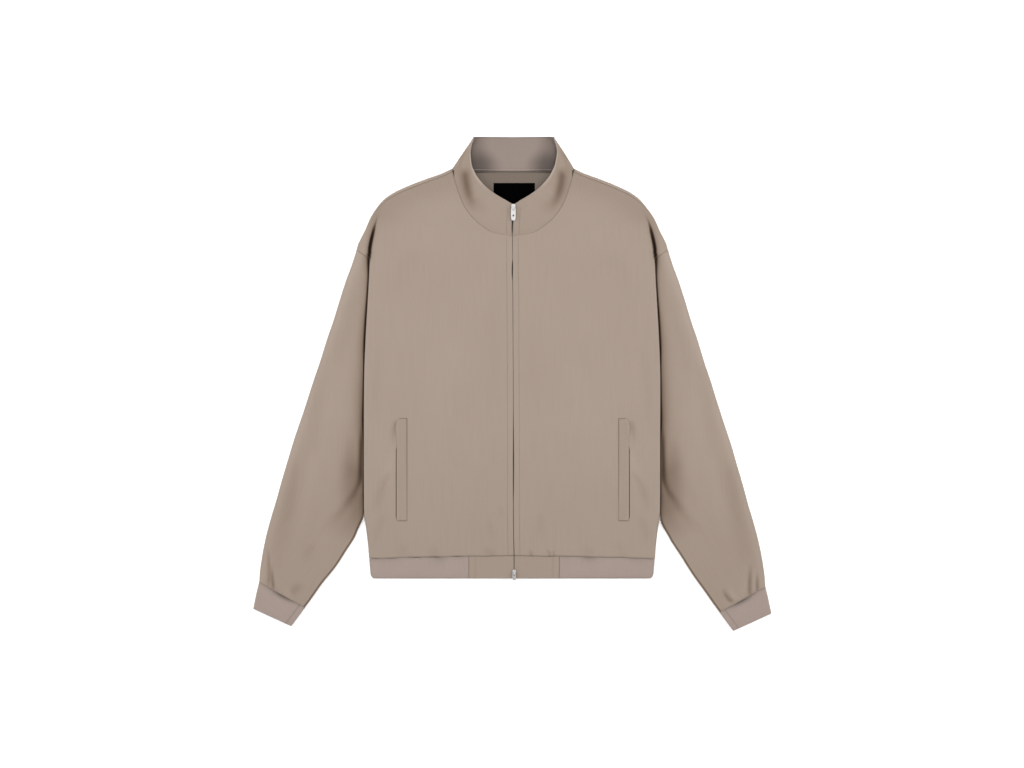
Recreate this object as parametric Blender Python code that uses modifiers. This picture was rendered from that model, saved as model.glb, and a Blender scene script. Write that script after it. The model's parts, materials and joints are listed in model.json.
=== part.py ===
"""Track jacket, zipped to the neck and laid flat on its back.

Every panel is an open grid of points on the garment's outer face, given a wall by Solidify.
X runs to the wearer's left, Y towards the collar and Z up; the jacket rests on z = 0.
The tables hold real sizes in millimetres, measured from the centre line of the body.
"""

import math

import bmesh
import bpy
import numpy as np

MM = 0.001

# Cloth walls
WOVEN = 1.5
RIB = 2.0
COLLAR_CLOTH = 1.4
COLLAR_KNIT = 1.5
CUFF_WALL = 1.8
WELT_CLOTH = 1.2
TAPE_CLOTH = 1.0
LABEL_CLOTH = 0.7
GAP = 0.3
WRAP_GAP = 1.0
EDGE_STEP = 0.4

# Height of the flat garment and the radius at which its sides turn under
BODY_HEIGHT = 7.0
FOLD = BODY_HEIGHT / 2
QUARTER = math.pi * FOLD / 2
SLEEVE_HEIGHT = 6.8
CUFF_HEIGHT = 6.4
HEM_HEIGHT = 7.2
LEFT_SLEEVE_DROP = 7.6

# Lengths along the body
HEM_SEAM = -277.5
HEM_END = -311.2
HEM_TAB_WIDTH = 67.0
BACK_NECK = 341.6
NECK_CENTRE = 2.4

# Pocket welts: an upright strip on each front, its opening at the outer edge
WELT_INNER = 169.0
WELT_OUTER = 186.0
WELT_TOP = -54.4
WELT_BOTTOM = -219.2

# Zip: tapes under the front edges, the closed coil between them
FRONT_EDGE_GAP = 0.9
COIL_WIDTH = 4.6
COIL_THICKNESS = 1.8
TAPE_WIDTH = 10.0
ZIP_TOP = 287.0
ZIP_END = -309.0

LABEL_CENTRE = 4.2
LABEL_WIDTH = 66.0
LABEL_TOP = 322.0
LABEL_HEIGHT = 46.0

# Sliders and pull tabs: plate width, plate length, tab width, tab length
TOP_SLIDER = {"y": 282.6, "plate": (7.0, 10.6), "tab": (7.6, 20.0), "tab_hole": 2.6}
END_SLIDER = {"y": -301.5, "plate": (6.0, 8.6), "tab": (5.6, 11.4), "tab_hole": 1.8}
PLATE_THICKNESS = 1.1
BRIDGE_WIDTH = 2.0
BRIDGE_LENGTH = 5.4
BRIDGE_THICKNESS = 0.9
WINDOW_HEIGHT = 1.9
HINGE_SETBACK = 1.0
TAB_THICKNESS = 0.9
TAB_EYE = 4.4
TAB_RAIL = 1.3
TAB_DROOP = math.radians(3.0)


def table(columns, rows):
    """Return the columns of a short table as named arrays."""
    return dict(zip(columns.split(), np.array(rows, float).T))


# Line of the zip and of the front edges
ZIP_LINE = table("y x", [
    (-312.0, 4.2), (-278.0, 4.0), (-60.0, 2.8), (130.0, 1.4), (238.0, 1.8), (290.0, 3.0),
])

# Half of the collar's front, one row for each section from the zip to the side fold: its
# seam with the front, its upper edge and that edge's height, and the dip between the two
COLLAR = table("seam_x seam_y edge_x edge_y edge_height dip", [
    (0.0, 236.8, 0.0, 288.0, 8.6, 0.0),
    (31.1, 242.3, 29.2, 304.8, 9.2, 0.3),
    (46.5, 251.0, 43.5, 316.2, 9.5, 0.8),
    (58.0, 260.3, 53.0, 326.5, 9.7, 1.3),
    (67.0, 269.2, 60.0, 336.5, 9.8, 1.6),
    (79.4, 288.0, 66.4, 353.0, 9.6, 1.9),
    (88.0, 310.0, 68.0, 371.0, 9.0, 1.6),
    (93.9, 329.5, 65.8, 384.0, 8.4, 0.8),
])
NECK_SECTIONS = len(COLLAR["seam_x"])

# Half of the front and back, one row for each section from the neck down to the hem seam.
# The first sections of a front end on the collar's seam, the others at front_y on the zip;
# the back's end at back_y on its centre line. side: the garment's outline; inward: direction
# in degrees from the outline into the panel; seam: how far, along the cloth, the back wraps
# over the outline; groove: the fold that parts front and sleeve, its distance from the
# outline and its depth.
BODY = table("front_y back_y side_x side_y inward seam groove depth", [
    (0.0, 341.2, 98.6, 344.3, 250.0, 6.6, 0.0, 0.0),
    (0.0, 330.0, 113.0, 337.6, 249.0, 6.8, 0.0, 0.0),
    (0.0, 316.0, 139.4, 328.0, 250.0, 7.0, 0.0, 0.0),
    (0.0, 302.0, 164.0, 318.4, 249.0, 7.0, 0.0, 0.0),
    (0.0, 288.0, 190.0, 305.3, 240.0, 6.6, 0.0, 0.0),
    (0.0, 276.0, 205.0, 294.4, 225.0, 5.6, 0.0, 0.0),
    (0.0, 264.0, 217.8, 280.0, 212.0, 4.0, 9.0, 0.5),
    (0.0, 252.0, 226.0, 268.0, 205.0, 2.4, 10.0, 1.8),
    (232.0, 238.0, 234.6, 249.4, 203.0, 1.0, 11.6, 2.8),
    (214.0, 216.0, 249.2, 213.8, 192.0, 0.4, 20.0, 3.1),
    (204.0, 206.0, 240.6, 205.8, 184.0, -1.0, 10.6, 3.1),
    (193.0, 193.0, 231.9, 197.8, 180.0, -3.2, 0.0, 0.0),
    (176.0, 176.0, 230.0, 178.0, 180.0, -5.5, 0.0, 0.0),
    (134.4, 134.4, 232.8, 134.4, 180.0, -5.5, 0.0, 0.0),
    (70.0, 70.0, 236.0, 70.0, 180.0, -5.5, 0.0, 0.0),
    (5.0, 5.0, 237.4, 5.0, 180.0, -5.5, 0.0, 0.0),
    (-54.0, -54.0, 237.6, -54.0, 180.0, -5.5, 0.0, 0.0),
    (-110.0, -110.0, 237.6, -110.0, 180.0, -5.5, 0.0, 0.0),
    (-160.0, -160.0, 237.6, -160.0, 180.0, -5.5, 0.0, 0.0),
    (-200.0, -200.0, 237.0, -200.0, 180.0, -5.5, 0.0, 0.0),
    (-232.0, -232.0, 232.9, -232.0, 180.0, -5.5, 0.0, 0.0),
    (-258.0, -258.0, 229.8, -258.0, 180.0, -5.5, 0.0, 0.0),
    (-275.9, -277.2, 228.2, -277.2, 180.0, -5.5, 0.0, 0.0),
])
SHOULDER_ROWS = 6
GROOVE_ROWS = 11
GROOVE_WIDTH = 3.4

COLLAR_FOLD_SEAM = (97.1, 345.1)
COLLAR_FOLD_EDGE = (62.4, 395.2)
COLLAR_TOP_CENTRE = 394.0
COLLAR_FOLD_RADIUS = (4.2, 4.5)
COLLAR_LEVELS = (0.0, 0.22, 0.45, 0.68, 0.88, 1.0)

# A sleeve from the armhole seam to the cuff seam: outer and inner edge, the height at the
# inner edge, and how far the cloth dips towards the body
SLEEVE = table("out_x out_y in_x in_y in_height dip", [
    (249.9, 212.9, 233.1, 196.6, 4.2, 8.0),
    (257.0, 189.0, 231.0, 174.0, 4.2, 16.0),
    (265.2, 166.4, 232.2, 146.0, 4.2, 24.0),
    (275.2, 134.4, 234.4, 112.0, 4.2, 34.0),
    (285.0, 102.4, 236.2, 74.0, 4.2, 40.0),
    (296.0, 70.4, 237.3, 38.0, 4.2, 45.0),
    (305.9, 38.4, 238.0, 2.0, 4.2, 48.0),
    (316.9, 6.4, 238.3, -34.0, 4.2, 50.0),
    (327.1, -25.6, 238.4, -70.0, 4.2, 52.0),
    (337.7, -57.6, 238.4, -106.0, 4.2, 54.0),
    (348.6, -89.6, 238.4, -142.0, 4.2, 54.0),
    (358.2, -121.6, 238.4, -177.0, 4.2, 54.0),
    (367.8, -153.6, 237.8, -208.5, 4.4, 50.0),
    (376.6, -185.6, 249.5, -238.0, 5.4, 36.0),
    (386.2, -217.6, 268.0, -267.0, 6.2, 26.0),
    (394.4, -249.6, 287.0, -297.0, 6.5, 20.0),
    (400.4, -281.6, 307.5, -325.5, 6.5, 16.0),
    (403.4, -305.0, 323.6, -348.4, 6.5, 14.0),
    (404.0, -316.6, 330.4, -357.4, 6.4, 12.0),
])

CUFF = table("out_x out_y in_x in_y", [
    (404.1, -317.1, 330.7, -357.9),
    (407.6, -331.0, 337.8, -367.6),
    (410.7, -345.4, 345.3, -377.6),
    (413.6, -359.6, 352.6, -387.6),
])

# The largest folds, as soft troughs from one point to another, on each side
FRONT_FOLDS = table("x0 y0 x1 y1 width depth", [
    (196.0, -140.0, 216.0, -206.0, 9.0, 0.9),
    (128.0, -262.0, 122.0, -277.0, 12.0, 0.7),
])
SLEEVE_FOLDS = table("x0 y0 x1 y1 width depth", [
    (246.0, -128.0, 266.0, -204.0, 10.0, 1.4),
    (390.0, -282.0, 389.0, -322.0, 5.0, 1.2),
    (334.0, -318.0, 352.0, -338.0, 9.0, 0.9),
])

FOLD_ANGLES = np.radians([-90.0, -45.0, 0.0, 45.0, 90.0])
FRONT_SPANS = (0.05, 0.14, 0.27, 0.43, 0.6, 0.78, 0.92, 1.0)
BACK_SPANS = (0.2, 0.5, 0.8, 1.0)

OUTER_CLOTH = (0.40, 0.33, 0.27)
RIB_CLOTH = (0.39, 0.31, 0.27)
TAPE_COLOUR = (0.25, 0.21, 0.18)
LABEL_BLACK = (0.02, 0.02, 0.02)
SILVER = (0.78, 0.77, 0.76)


def clear_scene():
    for found in list(bpy.data.objects):
        bpy.data.objects.remove(found, do_unlink=True)


def smoothstep(low, high, value):
    """Return 0 below low, 1 above high and a soft step between."""
    step = np.clip((value - low) / (high - low), 0.0, 1.0)
    return step * step * (3.0 - 2.0 * step)


def zip_x(y):
    return np.interp(y, ZIP_LINE["y"], ZIP_LINE["x"])


def troughs(folds, x, y):
    """Return the depth of all soft troughs of a table at the plan points x, y."""
    total = np.zeros(np.shape(x))
    for x0, y0, x1, y1, width, depth in zip(*folds.values()):
        along = np.array([x1 - x0, y1 - y0])
        length = math.hypot(*along)
        unit = along / length
        run = (x - x0) * unit[0] + (y - y0) * unit[1]
        off = (x - x0) * unit[1] - (y - y0) * unit[0]
        ends = smoothstep(-width, width, run) * smoothstep(-width, width, length - run)
        total = total + depth * ends * np.exp(-((off / width) ** 2))
    return total


def fold_profile(arc):
    """Return the distance inside the outline and the height, at an arc length round the fold.

    Arc 0 is the outline itself at half height; it grows over the top and falls underneath.
    """
    turn = np.clip(arc / FOLD, -math.pi / 2, math.pi / 2)
    inside = FOLD * (1.0 - np.cos(turn)) + np.maximum(np.abs(arc) - QUARTER, 0.0)
    height = FOLD * (1.0 + np.sin(turn))
    return inside, height


def body_row(i, arcs, end, spans, side):
    """Return one section: points round the outline at the arcs, then on to its inner end."""
    shift = side * NECK_CENTRE * smoothstep(280.0, 345.0, BODY["side_y"][i])
    outline = np.array([BODY["side_x"][i] + shift, BODY["side_y"][i]])
    angle = math.radians(BODY["inward"][i])
    inward = np.array([math.cos(angle), math.sin(angle)])
    inside, height = fold_profile(arcs)
    edge = outline + inside[:, None] * inward
    spans = np.array(spans)[:, None]
    rest = edge[-1] + (np.array(end) - edge[-1]) * spans
    plan = np.vstack([edge, rest])
    rest_height = np.full(len(rest), height[-1])
    return plan, np.concatenate([height, rest_height]), inside


def front_end(i, side):
    """Return where a front's section ends: just off the collar's seam, or at the zip."""
    if i >= NECK_SECTIONS:
        y = BODY["front_y"][i]
        return side * zip_x(y) + FRONT_EDGE_GAP, y
    seam = np.column_stack([COLLAR["seam_x"], COLLAR["seam_y"]])
    along = np.gradient(seam, axis=0)
    off = np.column_stack([along[:, 1], -along[:, 0]]) / np.linalg.norm(along, axis=1)[:, None]
    k = NECK_SECTIONS - 1 - i
    x, y = seam[k] + (GAP + 0.15) * off[k]
    if k == 0:
        return side * zip_x(y) + FRONT_EDGE_GAP, y
    return x + side * NECK_CENTRE, y


def front_arcs(i, end):
    """Return the arc lengths at which a front section has its eight edge points."""
    start = BODY["seam"][i] + WRAP_GAP / 2
    if i < SHOULDER_ROWS:
        length = math.dist((BODY["side_x"][i], BODY["side_y"][i]), end)
        reach = min(10.0, 0.4 * length)
        return start + reach * np.array([0.0, 0.04, 0.16, 0.32, 0.5, 0.66, 0.82, 1.0])
    if i < GROOVE_ROWS:
        centre = BODY["groove"][i] + QUARTER - FOLD
        lip = centre - GROOVE_WIDTH
        return np.array([
            start, start + EDGE_STEP, start + 0.35 * (lip - start), start + 0.7 * (lip - start),
            lip, centre, centre + 0.5 * GROOVE_WIDTH, centre + GROOVE_WIDTH,
        ])
    return np.append(start, np.linspace(start + EDGE_STEP, QUARTER, 7))


def front_grid(side):
    """Return the outer face of a front: a fan of sections from outline to neck and zip."""
    rows = []
    for i in range(len(BODY["side_x"])):
        end = front_end(i, side)
        plan, height, inside = body_row(i, front_arcs(i, end), end, FRONT_SPANS, side)
        off_groove = np.abs(inside - BODY["groove"][i]) / GROOVE_WIDTH
        height[:len(inside)] -= BODY["depth"][i] * np.clip(1.0 - off_groove, 0.0, 1.0)
        x, y = plan[:, 0], plan[:, 1]
        height = height - np.where(height > FOLD * 1.6, troughs(FRONT_FOLDS, x, y), 0.0)
        rows.append(np.column_stack([side * x, y, height]))
    return np.array(rows)


def back_arcs(i):
    """Return the arc lengths at which a back section has its edge points, inner one last."""
    end = BODY["seam"][i] - WRAP_GAP / 2
    if i >= GROOVE_ROWS:
        end = -QUARTER - GAP
        return np.array([end, end - 1.5, end - 3.0, end - 5.0, end - 7.5, end - 11.0, end - 16.0])
    wrap = np.append(end, np.linspace(end - EDGE_STEP, -QUARTER, 5))
    return np.append(wrap, -QUARTER - 3.0)


def back_grid():
    """Return the outer face of the back, outline to outline, with its wraps at the shoulders."""
    rows = []
    for i, centre_y in enumerate(BODY["back_y"]):
        halves = []
        for side in (1, -1):
            plan, height, _ = body_row(i, back_arcs(i), (0.0, centre_y), BACK_SPANS, side)
            height = np.where(plan[:, 0] < plan[6, 0], 0.0, height)
            halves.append(np.column_stack([side * plan[:, 0], plan[:, 1], height]))
        rows.append(np.vstack([halves[0], halves[1][:-1][::-1]]))
    return np.array(rows)


def tube_section(outer, inner, height_out, height_in, dip, side):
    """Return a flattened tube's section: over the top, round the inner fold and back below."""
    outer, inner = np.array(outer), np.array(inner)
    width = np.linalg.norm(inner - outer)
    across = (inner - outer) / width
    radius_out, radius_in = height_out / 2, height_in / 2
    top = np.array([0.12, 0.3, 0.5, 0.68, 0.82, 0.92])
    bottom = np.array([0.75, 0.5, 0.25])
    turn_out = FOLD_ANGLES[2:]
    turn_in = FOLD_ANGLES[::-1]
    place = np.concatenate([
        radius_out * (1.0 - np.cos(turn_out)),
        radius_out + (width - radius_out - radius_in) * top,
        width - radius_in * (1.0 - np.cos(turn_in)),
        radius_out + (width - radius_out - radius_in) * bottom,
        radius_out * (1.0 - np.cos(FOLD_ANGLES[:2])),
    ])
    fall = smoothstep(0.0, dip, width - radius_in - radius_out - width * top)
    height = np.concatenate([
        radius_out * (1.0 + np.sin(turn_out)),
        height_in + (height_out - height_in) * fall,
        radius_in * (1.0 + np.sin(turn_in)),
        np.zeros(len(bottom)),
        radius_out * (1.0 + np.sin(FOLD_ANGLES[:2])),
    ])
    plan = outer + place[:, None] * across
    on_top = slice(len(turn_out), len(turn_out) + len(top))
    height[on_top] -= troughs(SLEEVE_FOLDS, plan[on_top, 0], plan[on_top, 1])
    return np.column_stack([side * plan[:, 0], plan[:, 1], height])


def sleeve_drop(side, y):
    """Return how far the left sleeve lies lower than the right one, growing to the cuff."""
    return LEFT_SLEEVE_DROP * float(smoothstep(160.0, -240.0, y)) if side > 0 else 0.0


def sleeve_grid(side):
    rows = []
    for ox, oy, ix, iy, in_height, dip in zip(*SLEEVE.values()):
        drop = sleeve_drop(side, oy)
        rows.append(tube_section((ox, oy - drop), (ix, iy - drop), SLEEVE_HEIGHT,
                                 in_height, dip, side))
    return np.array(rows)


def cuff_grid(side):
    rows = []
    for ox, oy, ix, iy in zip(*CUFF.values()):
        drop = sleeve_drop(side, oy)
        rows.append(tube_section((ox, oy - drop), (ix, iy - drop), CUFF_HEIGHT,
                                 CUFF_HEIGHT, 10.0, side))
    return np.array(rows)


def collar_level(level):
    """Return half of the collar at one level, from the zip round the fold to centre back."""
    seam = np.column_stack([COLLAR["seam_x"], COLLAR["seam_y"]])
    edge = np.column_stack([COLLAR["edge_x"], COLLAR["edge_y"]])
    front = seam + (edge - seam) * level
    rise = BODY_HEIGHT + (COLLAR["edge_height"] - BODY_HEIGHT) * level
    front_height = rise - COLLAR["dip"] * math.sin(math.pi * level) ** 2

    radius = COLLAR_FOLD_RADIUS[0] + (COLLAR_FOLD_RADIUS[1] - COLLAR_FOLD_RADIUS[0]) * level
    corner = np.array(COLLAR_FOLD_SEAM) * (1 - level) + np.array(COLLAR_FOLD_EDGE) * level
    square = np.array([-0.822, -0.569])
    over = square * (1 - level) + np.array([0.2, -0.98]) * level
    under = square * (1 - level) + np.array([-1.0, -0.02]) * level
    turn = FOLD_ANGLES[::-1]
    direction = np.where((turn > 0.0)[:, None], over, under)
    fold = corner + radius * (1.0 - np.cos(turn))[:, None] * direction
    fold_height = radius * (1.0 + np.sin(turn))

    centre_y = BACK_NECK * (1 - level) + COLLAR_TOP_CENTRE * level
    spans = np.array([0.12, 0.4, 0.7, 1.0])[:, None]
    back = fold[-1] + (np.array([0.0, centre_y]) - fold[-1]) * spans
    plan = np.vstack([front, fold, back])
    height = np.concatenate([front_height, fold_height, np.zeros(len(back))])
    return np.column_stack([plan, height])


def collar_grid(first):
    """Return the collar's face from one front end round the neck to the other.

    first is the station at which each end starts, 0 being the zip.
    """
    rows = []
    for level in COLLAR_LEVELS:
        half = collar_level(level)[first:]
        left = half + (NECK_CENTRE, 0.0, 0.0)
        right = half[:-1][::-1] * (-1.0, 1.0, 1.0) + (NECK_CENTRE, 0.0, 0.0)
        if first == 0:
            edge = zip_x(half[0, 1])
            left[0, 0] = edge + FRONT_EDGE_GAP
            right[-1, 0] = edge - FRONT_EDGE_GAP
        rows.append(np.vstack([left, right]))
    return np.array(rows)


def hem_line(x):
    """Return where a front ends above the waistband, a little higher at the zip."""
    return np.interp(np.abs(x), (4.0, BODY["side_x"][-1]), (BODY["front_y"][-1], HEM_SEAM + GAP))


def hem_grid():
    """Return the waistband's face from one front tab round the back to the other."""
    levels = (0.0, 0.35, 0.7, 0.93, 1.0)
    radius = HEM_HEIGHT / 2
    rows = []
    for level in levels:
        y = HEM_SEAM + (HEM_END - HEM_SEAM) * level
        side_x = np.interp(level, (0.0, 0.85, 1.0), (228.0, 225.8, 221.5))
        tab_x = zip_x(HEM_SEAM) + HEM_TAB_WIDTH + GAP
        spans = np.linspace(0.0, 1.0, 9)[:-1]
        front_x = tab_x + (side_x - radius - tab_x) * spans
        front_height = np.full(len(front_x), HEM_HEIGHT)
        fold_x = side_x - radius * (1.0 - np.cos(FOLD_ANGLES[::-1]))
        fold_height = radius * (1.0 + np.sin(FOLD_ANGLES[::-1]))
        back_x = fold_x[-1] * np.array([0.75, 0.5, 0.25, 0.0])
        x = np.concatenate([front_x, fold_x, back_x])
        height = np.concatenate([front_height, fold_height, np.zeros(len(back_x))])
        half = np.column_stack([x, np.full(len(x), y), height])
        other = half[:-1][::-1] * (-1.0, 1.0, 1.0)
        near = len(front_x)
        shift = 2.0 * zip_x(HEM_SEAM) * (1.0 - spans)
        other[len(other) - near:, 0] += shift[::-1]
        rows.append(np.vstack([half, other]))
    return np.array(rows)


def hem_tab_grid(side):
    levels = (0.0, 0.5, 0.95, 1.0)
    rows = []
    for level in levels:
        middle = zip_x(HEM_SEAM)
        x = middle + side * np.linspace(FRONT_EDGE_GAP, HEM_TAB_WIDTH, 5)
        top = hem_line(x) - GAP
        rows.append(np.column_stack([x, top + (HEM_END - top) * level, np.full(5, BODY_HEIGHT)]))
    return np.array(rows)


def welt_grid(side):
    """Return a pocket welt's face, on the front and rounded over at its opening edge."""
    across = (WELT_INNER, WELT_INNER + 5.0, WELT_OUTER - 4.0, WELT_OUTER)
    rows = []
    for y in np.linspace(WELT_TOP, WELT_BOTTOM, 7):
        x = np.array(across)
        height = np.full(4, BODY_HEIGHT + GAP + WELT_CLOTH)
        rows.append(np.column_stack([side * x, np.full(4, y), height]))
    return np.array(rows)


def cloth_top(y):
    """Return the height of the cloth's face beside the zip."""
    return np.interp(y, (236.8, 288.0), (BODY_HEIGHT, COLLAR["edge_height"][0]))


def zip_rows():
    return np.array([ZIP_TOP, 262.0, 238.0, 180.0, 130.0, 35.0, -60.0, -170.0, -278.0, ZIP_END])


def tape_grid(side):
    rows = []
    for y in zip_rows():
        start = COIL_WIDTH / 2 + GAP
        x = zip_x(y) + side * (start + TAPE_WIDTH * np.array([0.0, 0.5, 1.0]))
        height = cloth_top(y) - WOVEN - GAP
        rows.append(np.column_stack([x, np.full(3, y), np.full(3, height)]))
    return np.array(rows)


def coil_grid():
    y_rows = zip_rows()
    rows = []
    for y in np.clip(y_rows, END_SLIDER["y"] - 2.0, TOP_SLIDER["y"] - 2.0):
        x = zip_x(y) + COIL_WIDTH * np.array([-0.5, 0.0, 0.5])
        height = cloth_top(y) - WOVEN - GAP - TAPE_CLOTH / 2 + COIL_THICKNESS / 2 - 0.4
        rows.append(np.column_stack([x, np.full(3, y), np.full(3, height)]))
    return np.array(rows)


def label_grid():
    x = LABEL_CENTRE + LABEL_WIDTH * np.array([-0.5, 0.0, 0.5])
    height = np.full(3, WOVEN + GAP + LABEL_CLOTH)
    rows = [np.column_stack([x, np.full(3, LABEL_TOP - LABEL_HEIGHT * step), height])
            for step in (0.0, 0.5, 1.0)]
    return np.array(rows)


def make_material(name, colour, roughness, metallic=0.0):
    material = bpy.data.materials.new(name)
    material.use_nodes = True
    shader = material.node_tree.nodes["Principled BSDF"]
    shader.inputs["Base Color"].default_value = (*colour, 1.0)
    shader.inputs["Roughness"].default_value = roughness
    shader.inputs["Metallic"].default_value = metallic
    return material


def cloth_object(name, grid, thickness, material, collection, closed=False, flip=False,
                 depth=0.0):
    """Build a wall from a grid of points; it grows inwards, starting at a depth under them."""
    rows, columns = grid.shape[:2]
    index = np.arange(rows * columns).reshape(rows, columns)
    if closed:
        index = np.column_stack([index, index[:, :1]])
    quads = np.stack([index[:-1, :-1], index[1:, :-1], index[1:, 1:], index[:-1, 1:]], axis=-1)
    quads = quads.reshape(-1, 4)
    if flip:
        quads = quads[:, ::-1]
    mesh = bpy.data.meshes.new(name)
    mesh.from_pydata((grid.reshape(-1, 3) * MM).tolist(), [], quads.tolist())
    mesh.shade_smooth()
    mesh.materials.append(material)
    item = bpy.data.objects.new(name, mesh)
    collection.objects.link(item)
    wall = item.modifiers.new("wall", "SOLIDIFY")
    wall.thickness = thickness * MM
    wall.offset = -1.0 - 2.0 * depth / thickness
    wall.use_even_offset = True
    return item


def box_mesh(name, size, centre, collection, cutter=False):
    """Add a box, its sizes applied to the mesh."""
    bpy.ops.mesh.primitive_cube_add(size=1.0, location=(0.0, 0.0, 0.0))
    item = bpy.context.object
    item.name = name
    for vertex in item.data.vertices:
        vertex.co = [vertex.co[k] * size[k] * MM + centre[k] * MM for k in range(3)]
    for holder in list(item.users_collection):
        holder.objects.unlink(item)
    collection.objects.link(item)
    if cutter:
        item.hide_render = True
        item.display_type = "WIRE"
    return item


def outline_plate(name, points, thickness, collection):
    """Extrude a flat outline, as a filled curve, into a closed plate centred on z = 0."""
    curve = bpy.data.curves.new(name, "CURVE")
    curve.dimensions = "2D"
    curve.fill_mode = "BOTH"
    curve.extrude = thickness * MM / 2
    spline = curve.splines.new("POLY")
    spline.points.add(len(points) - 1)
    for point, (x, y) in zip(spline.points, points):
        point.co = (x * MM, y * MM, 0.0, 1.0)
    spline.use_cyclic_u = True
    source = bpy.data.objects.new(name + "_outline", curve)
    bpy.context.scene.collection.objects.link(source)
    graph = bpy.context.evaluated_depsgraph_get()
    mesh = bpy.data.meshes.new_from_object(source.evaluated_get(graph))
    bpy.data.objects.remove(source, do_unlink=True)
    work = bmesh.new()
    work.from_mesh(mesh)
    bmesh.ops.remove_doubles(work, verts=work.verts, dist=0.00001)
    bmesh.ops.recalc_face_normals(work, faces=work.faces)
    work.to_mesh(mesh)
    work.free()
    item = bpy.data.objects.new(name, mesh)
    collection.objects.link(item)
    return item


def combine(target, tool, operation):
    modifier = target.modifiers.new(operation.lower(), "BOOLEAN")
    modifier.operation = operation
    modifier.object = tool


def slider_base(slider):
    """Return the height of a slider's plate, just clear of the cloth at its upper end."""
    return cloth_top(slider["y"] + slider["plate"][1] / 2) + GAP


def hinge_height(slider):
    """Return the height of a pull tab's hinge, in the middle of the bridge's window."""
    return slider_base(slider) + PLATE_THICKNESS + WINDOW_HEIGHT / 2


def make_slider(name, slider, material, parts, cutters):
    """A tapered plate with a raised bridge, whose window holds the pull tab's bar."""
    wide, long = slider["plate"]
    x, y, base = zip_x(slider["y"]), slider["y"], slider_base(slider)
    outline = [
        (-wide * 0.32, long / 2), (wide * 0.32, long / 2), (wide / 2, long * 0.3),
        (wide * 0.36, -long / 2), (-wide * 0.36, -long / 2), (-wide / 2, long * 0.3),
    ]
    body = outline_plate(name, outline, PLATE_THICKNESS, parts)
    body.location = (x * MM, y * MM, (base + PLATE_THICKNESS / 2) * MM)
    body.data.materials.append(material)
    arch_height = WINDOW_HEIGHT + BRIDGE_THICKNESS + 0.4
    arch = box_mesh(name + "_arch", (BRIDGE_WIDTH, BRIDGE_LENGTH, arch_height),
                    (x, y - HINGE_SETBACK, base + PLATE_THICKNESS - 0.4 + arch_height / 2),
                    cutters, True)
    window = box_mesh(name + "_window",
                      (BRIDGE_WIDTH * 2, BRIDGE_LENGTH - 2 * BRIDGE_THICKNESS, WINDOW_HEIGHT),
                      (x, y - HINGE_SETBACK, hinge_height(slider)), cutters, True)
    combine(arch, window, "DIFFERENCE")
    combine(body, arch, "UNION")
    return body


def make_pull_tab(name, slider, material, parts, cutters):
    """A flat tab with an eye round the bridge and a small hole; its origin is the hinge."""
    wide, long = slider["tab"]
    x, y, z = zip_x(slider["y"]), slider["y"] - HINGE_SETBACK, hinge_height(slider)
    bar = TAB_THICKNESS / 2
    outline = [
        (-wide * 0.36, bar), (wide * 0.36, bar), (wide / 2, -bar - 1.0),
        (wide / 2, -long * 0.8), (wide * 0.34, -long), (-wide * 0.34, -long),
        (-wide / 2, -long * 0.8), (-wide / 2, -bar - 1.0),
    ]
    tab = outline_plate(name, outline, TAB_THICKNESS, parts)
    tab.data.materials.append(material)
    tab.location = (x * MM, y * MM, z * MM)
    tab.rotation_euler = (TAB_DROOP, 0.0, 0.0)
    eye_width = wide - 2 * TAB_RAIL
    eye_long = TAB_EYE - bar
    eye = box_mesh(name + "_eye", (eye_width, eye_long, TAB_THICKNESS * 3),
                   (0.0, -bar - eye_long / 2, 0.0), cutters, True)
    bpy.ops.mesh.primitive_cylinder_add(vertices=16, radius=slider["tab_hole"] * MM / 2,
                                        depth=TAB_THICKNESS * 3 * MM)
    hole = bpy.context.object
    hole.name = name + "_hole"
    for holder in list(hole.users_collection):
        holder.objects.unlink(hole)
    cutters.objects.link(hole)
    hole.hide_render = True
    hole.display_type = "WIRE"
    hole.location = (0.0, -(TAB_EYE + long) / 2 * MM, 0.0)
    for tool in (eye, hole):
        tool.parent = tab
        combine(tab, tool, "DIFFERENCE")
    return tab


def new_collection(name):
    collection = bpy.data.collections.new(name)
    bpy.context.scene.collection.children.link(collection)
    return collection


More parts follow.
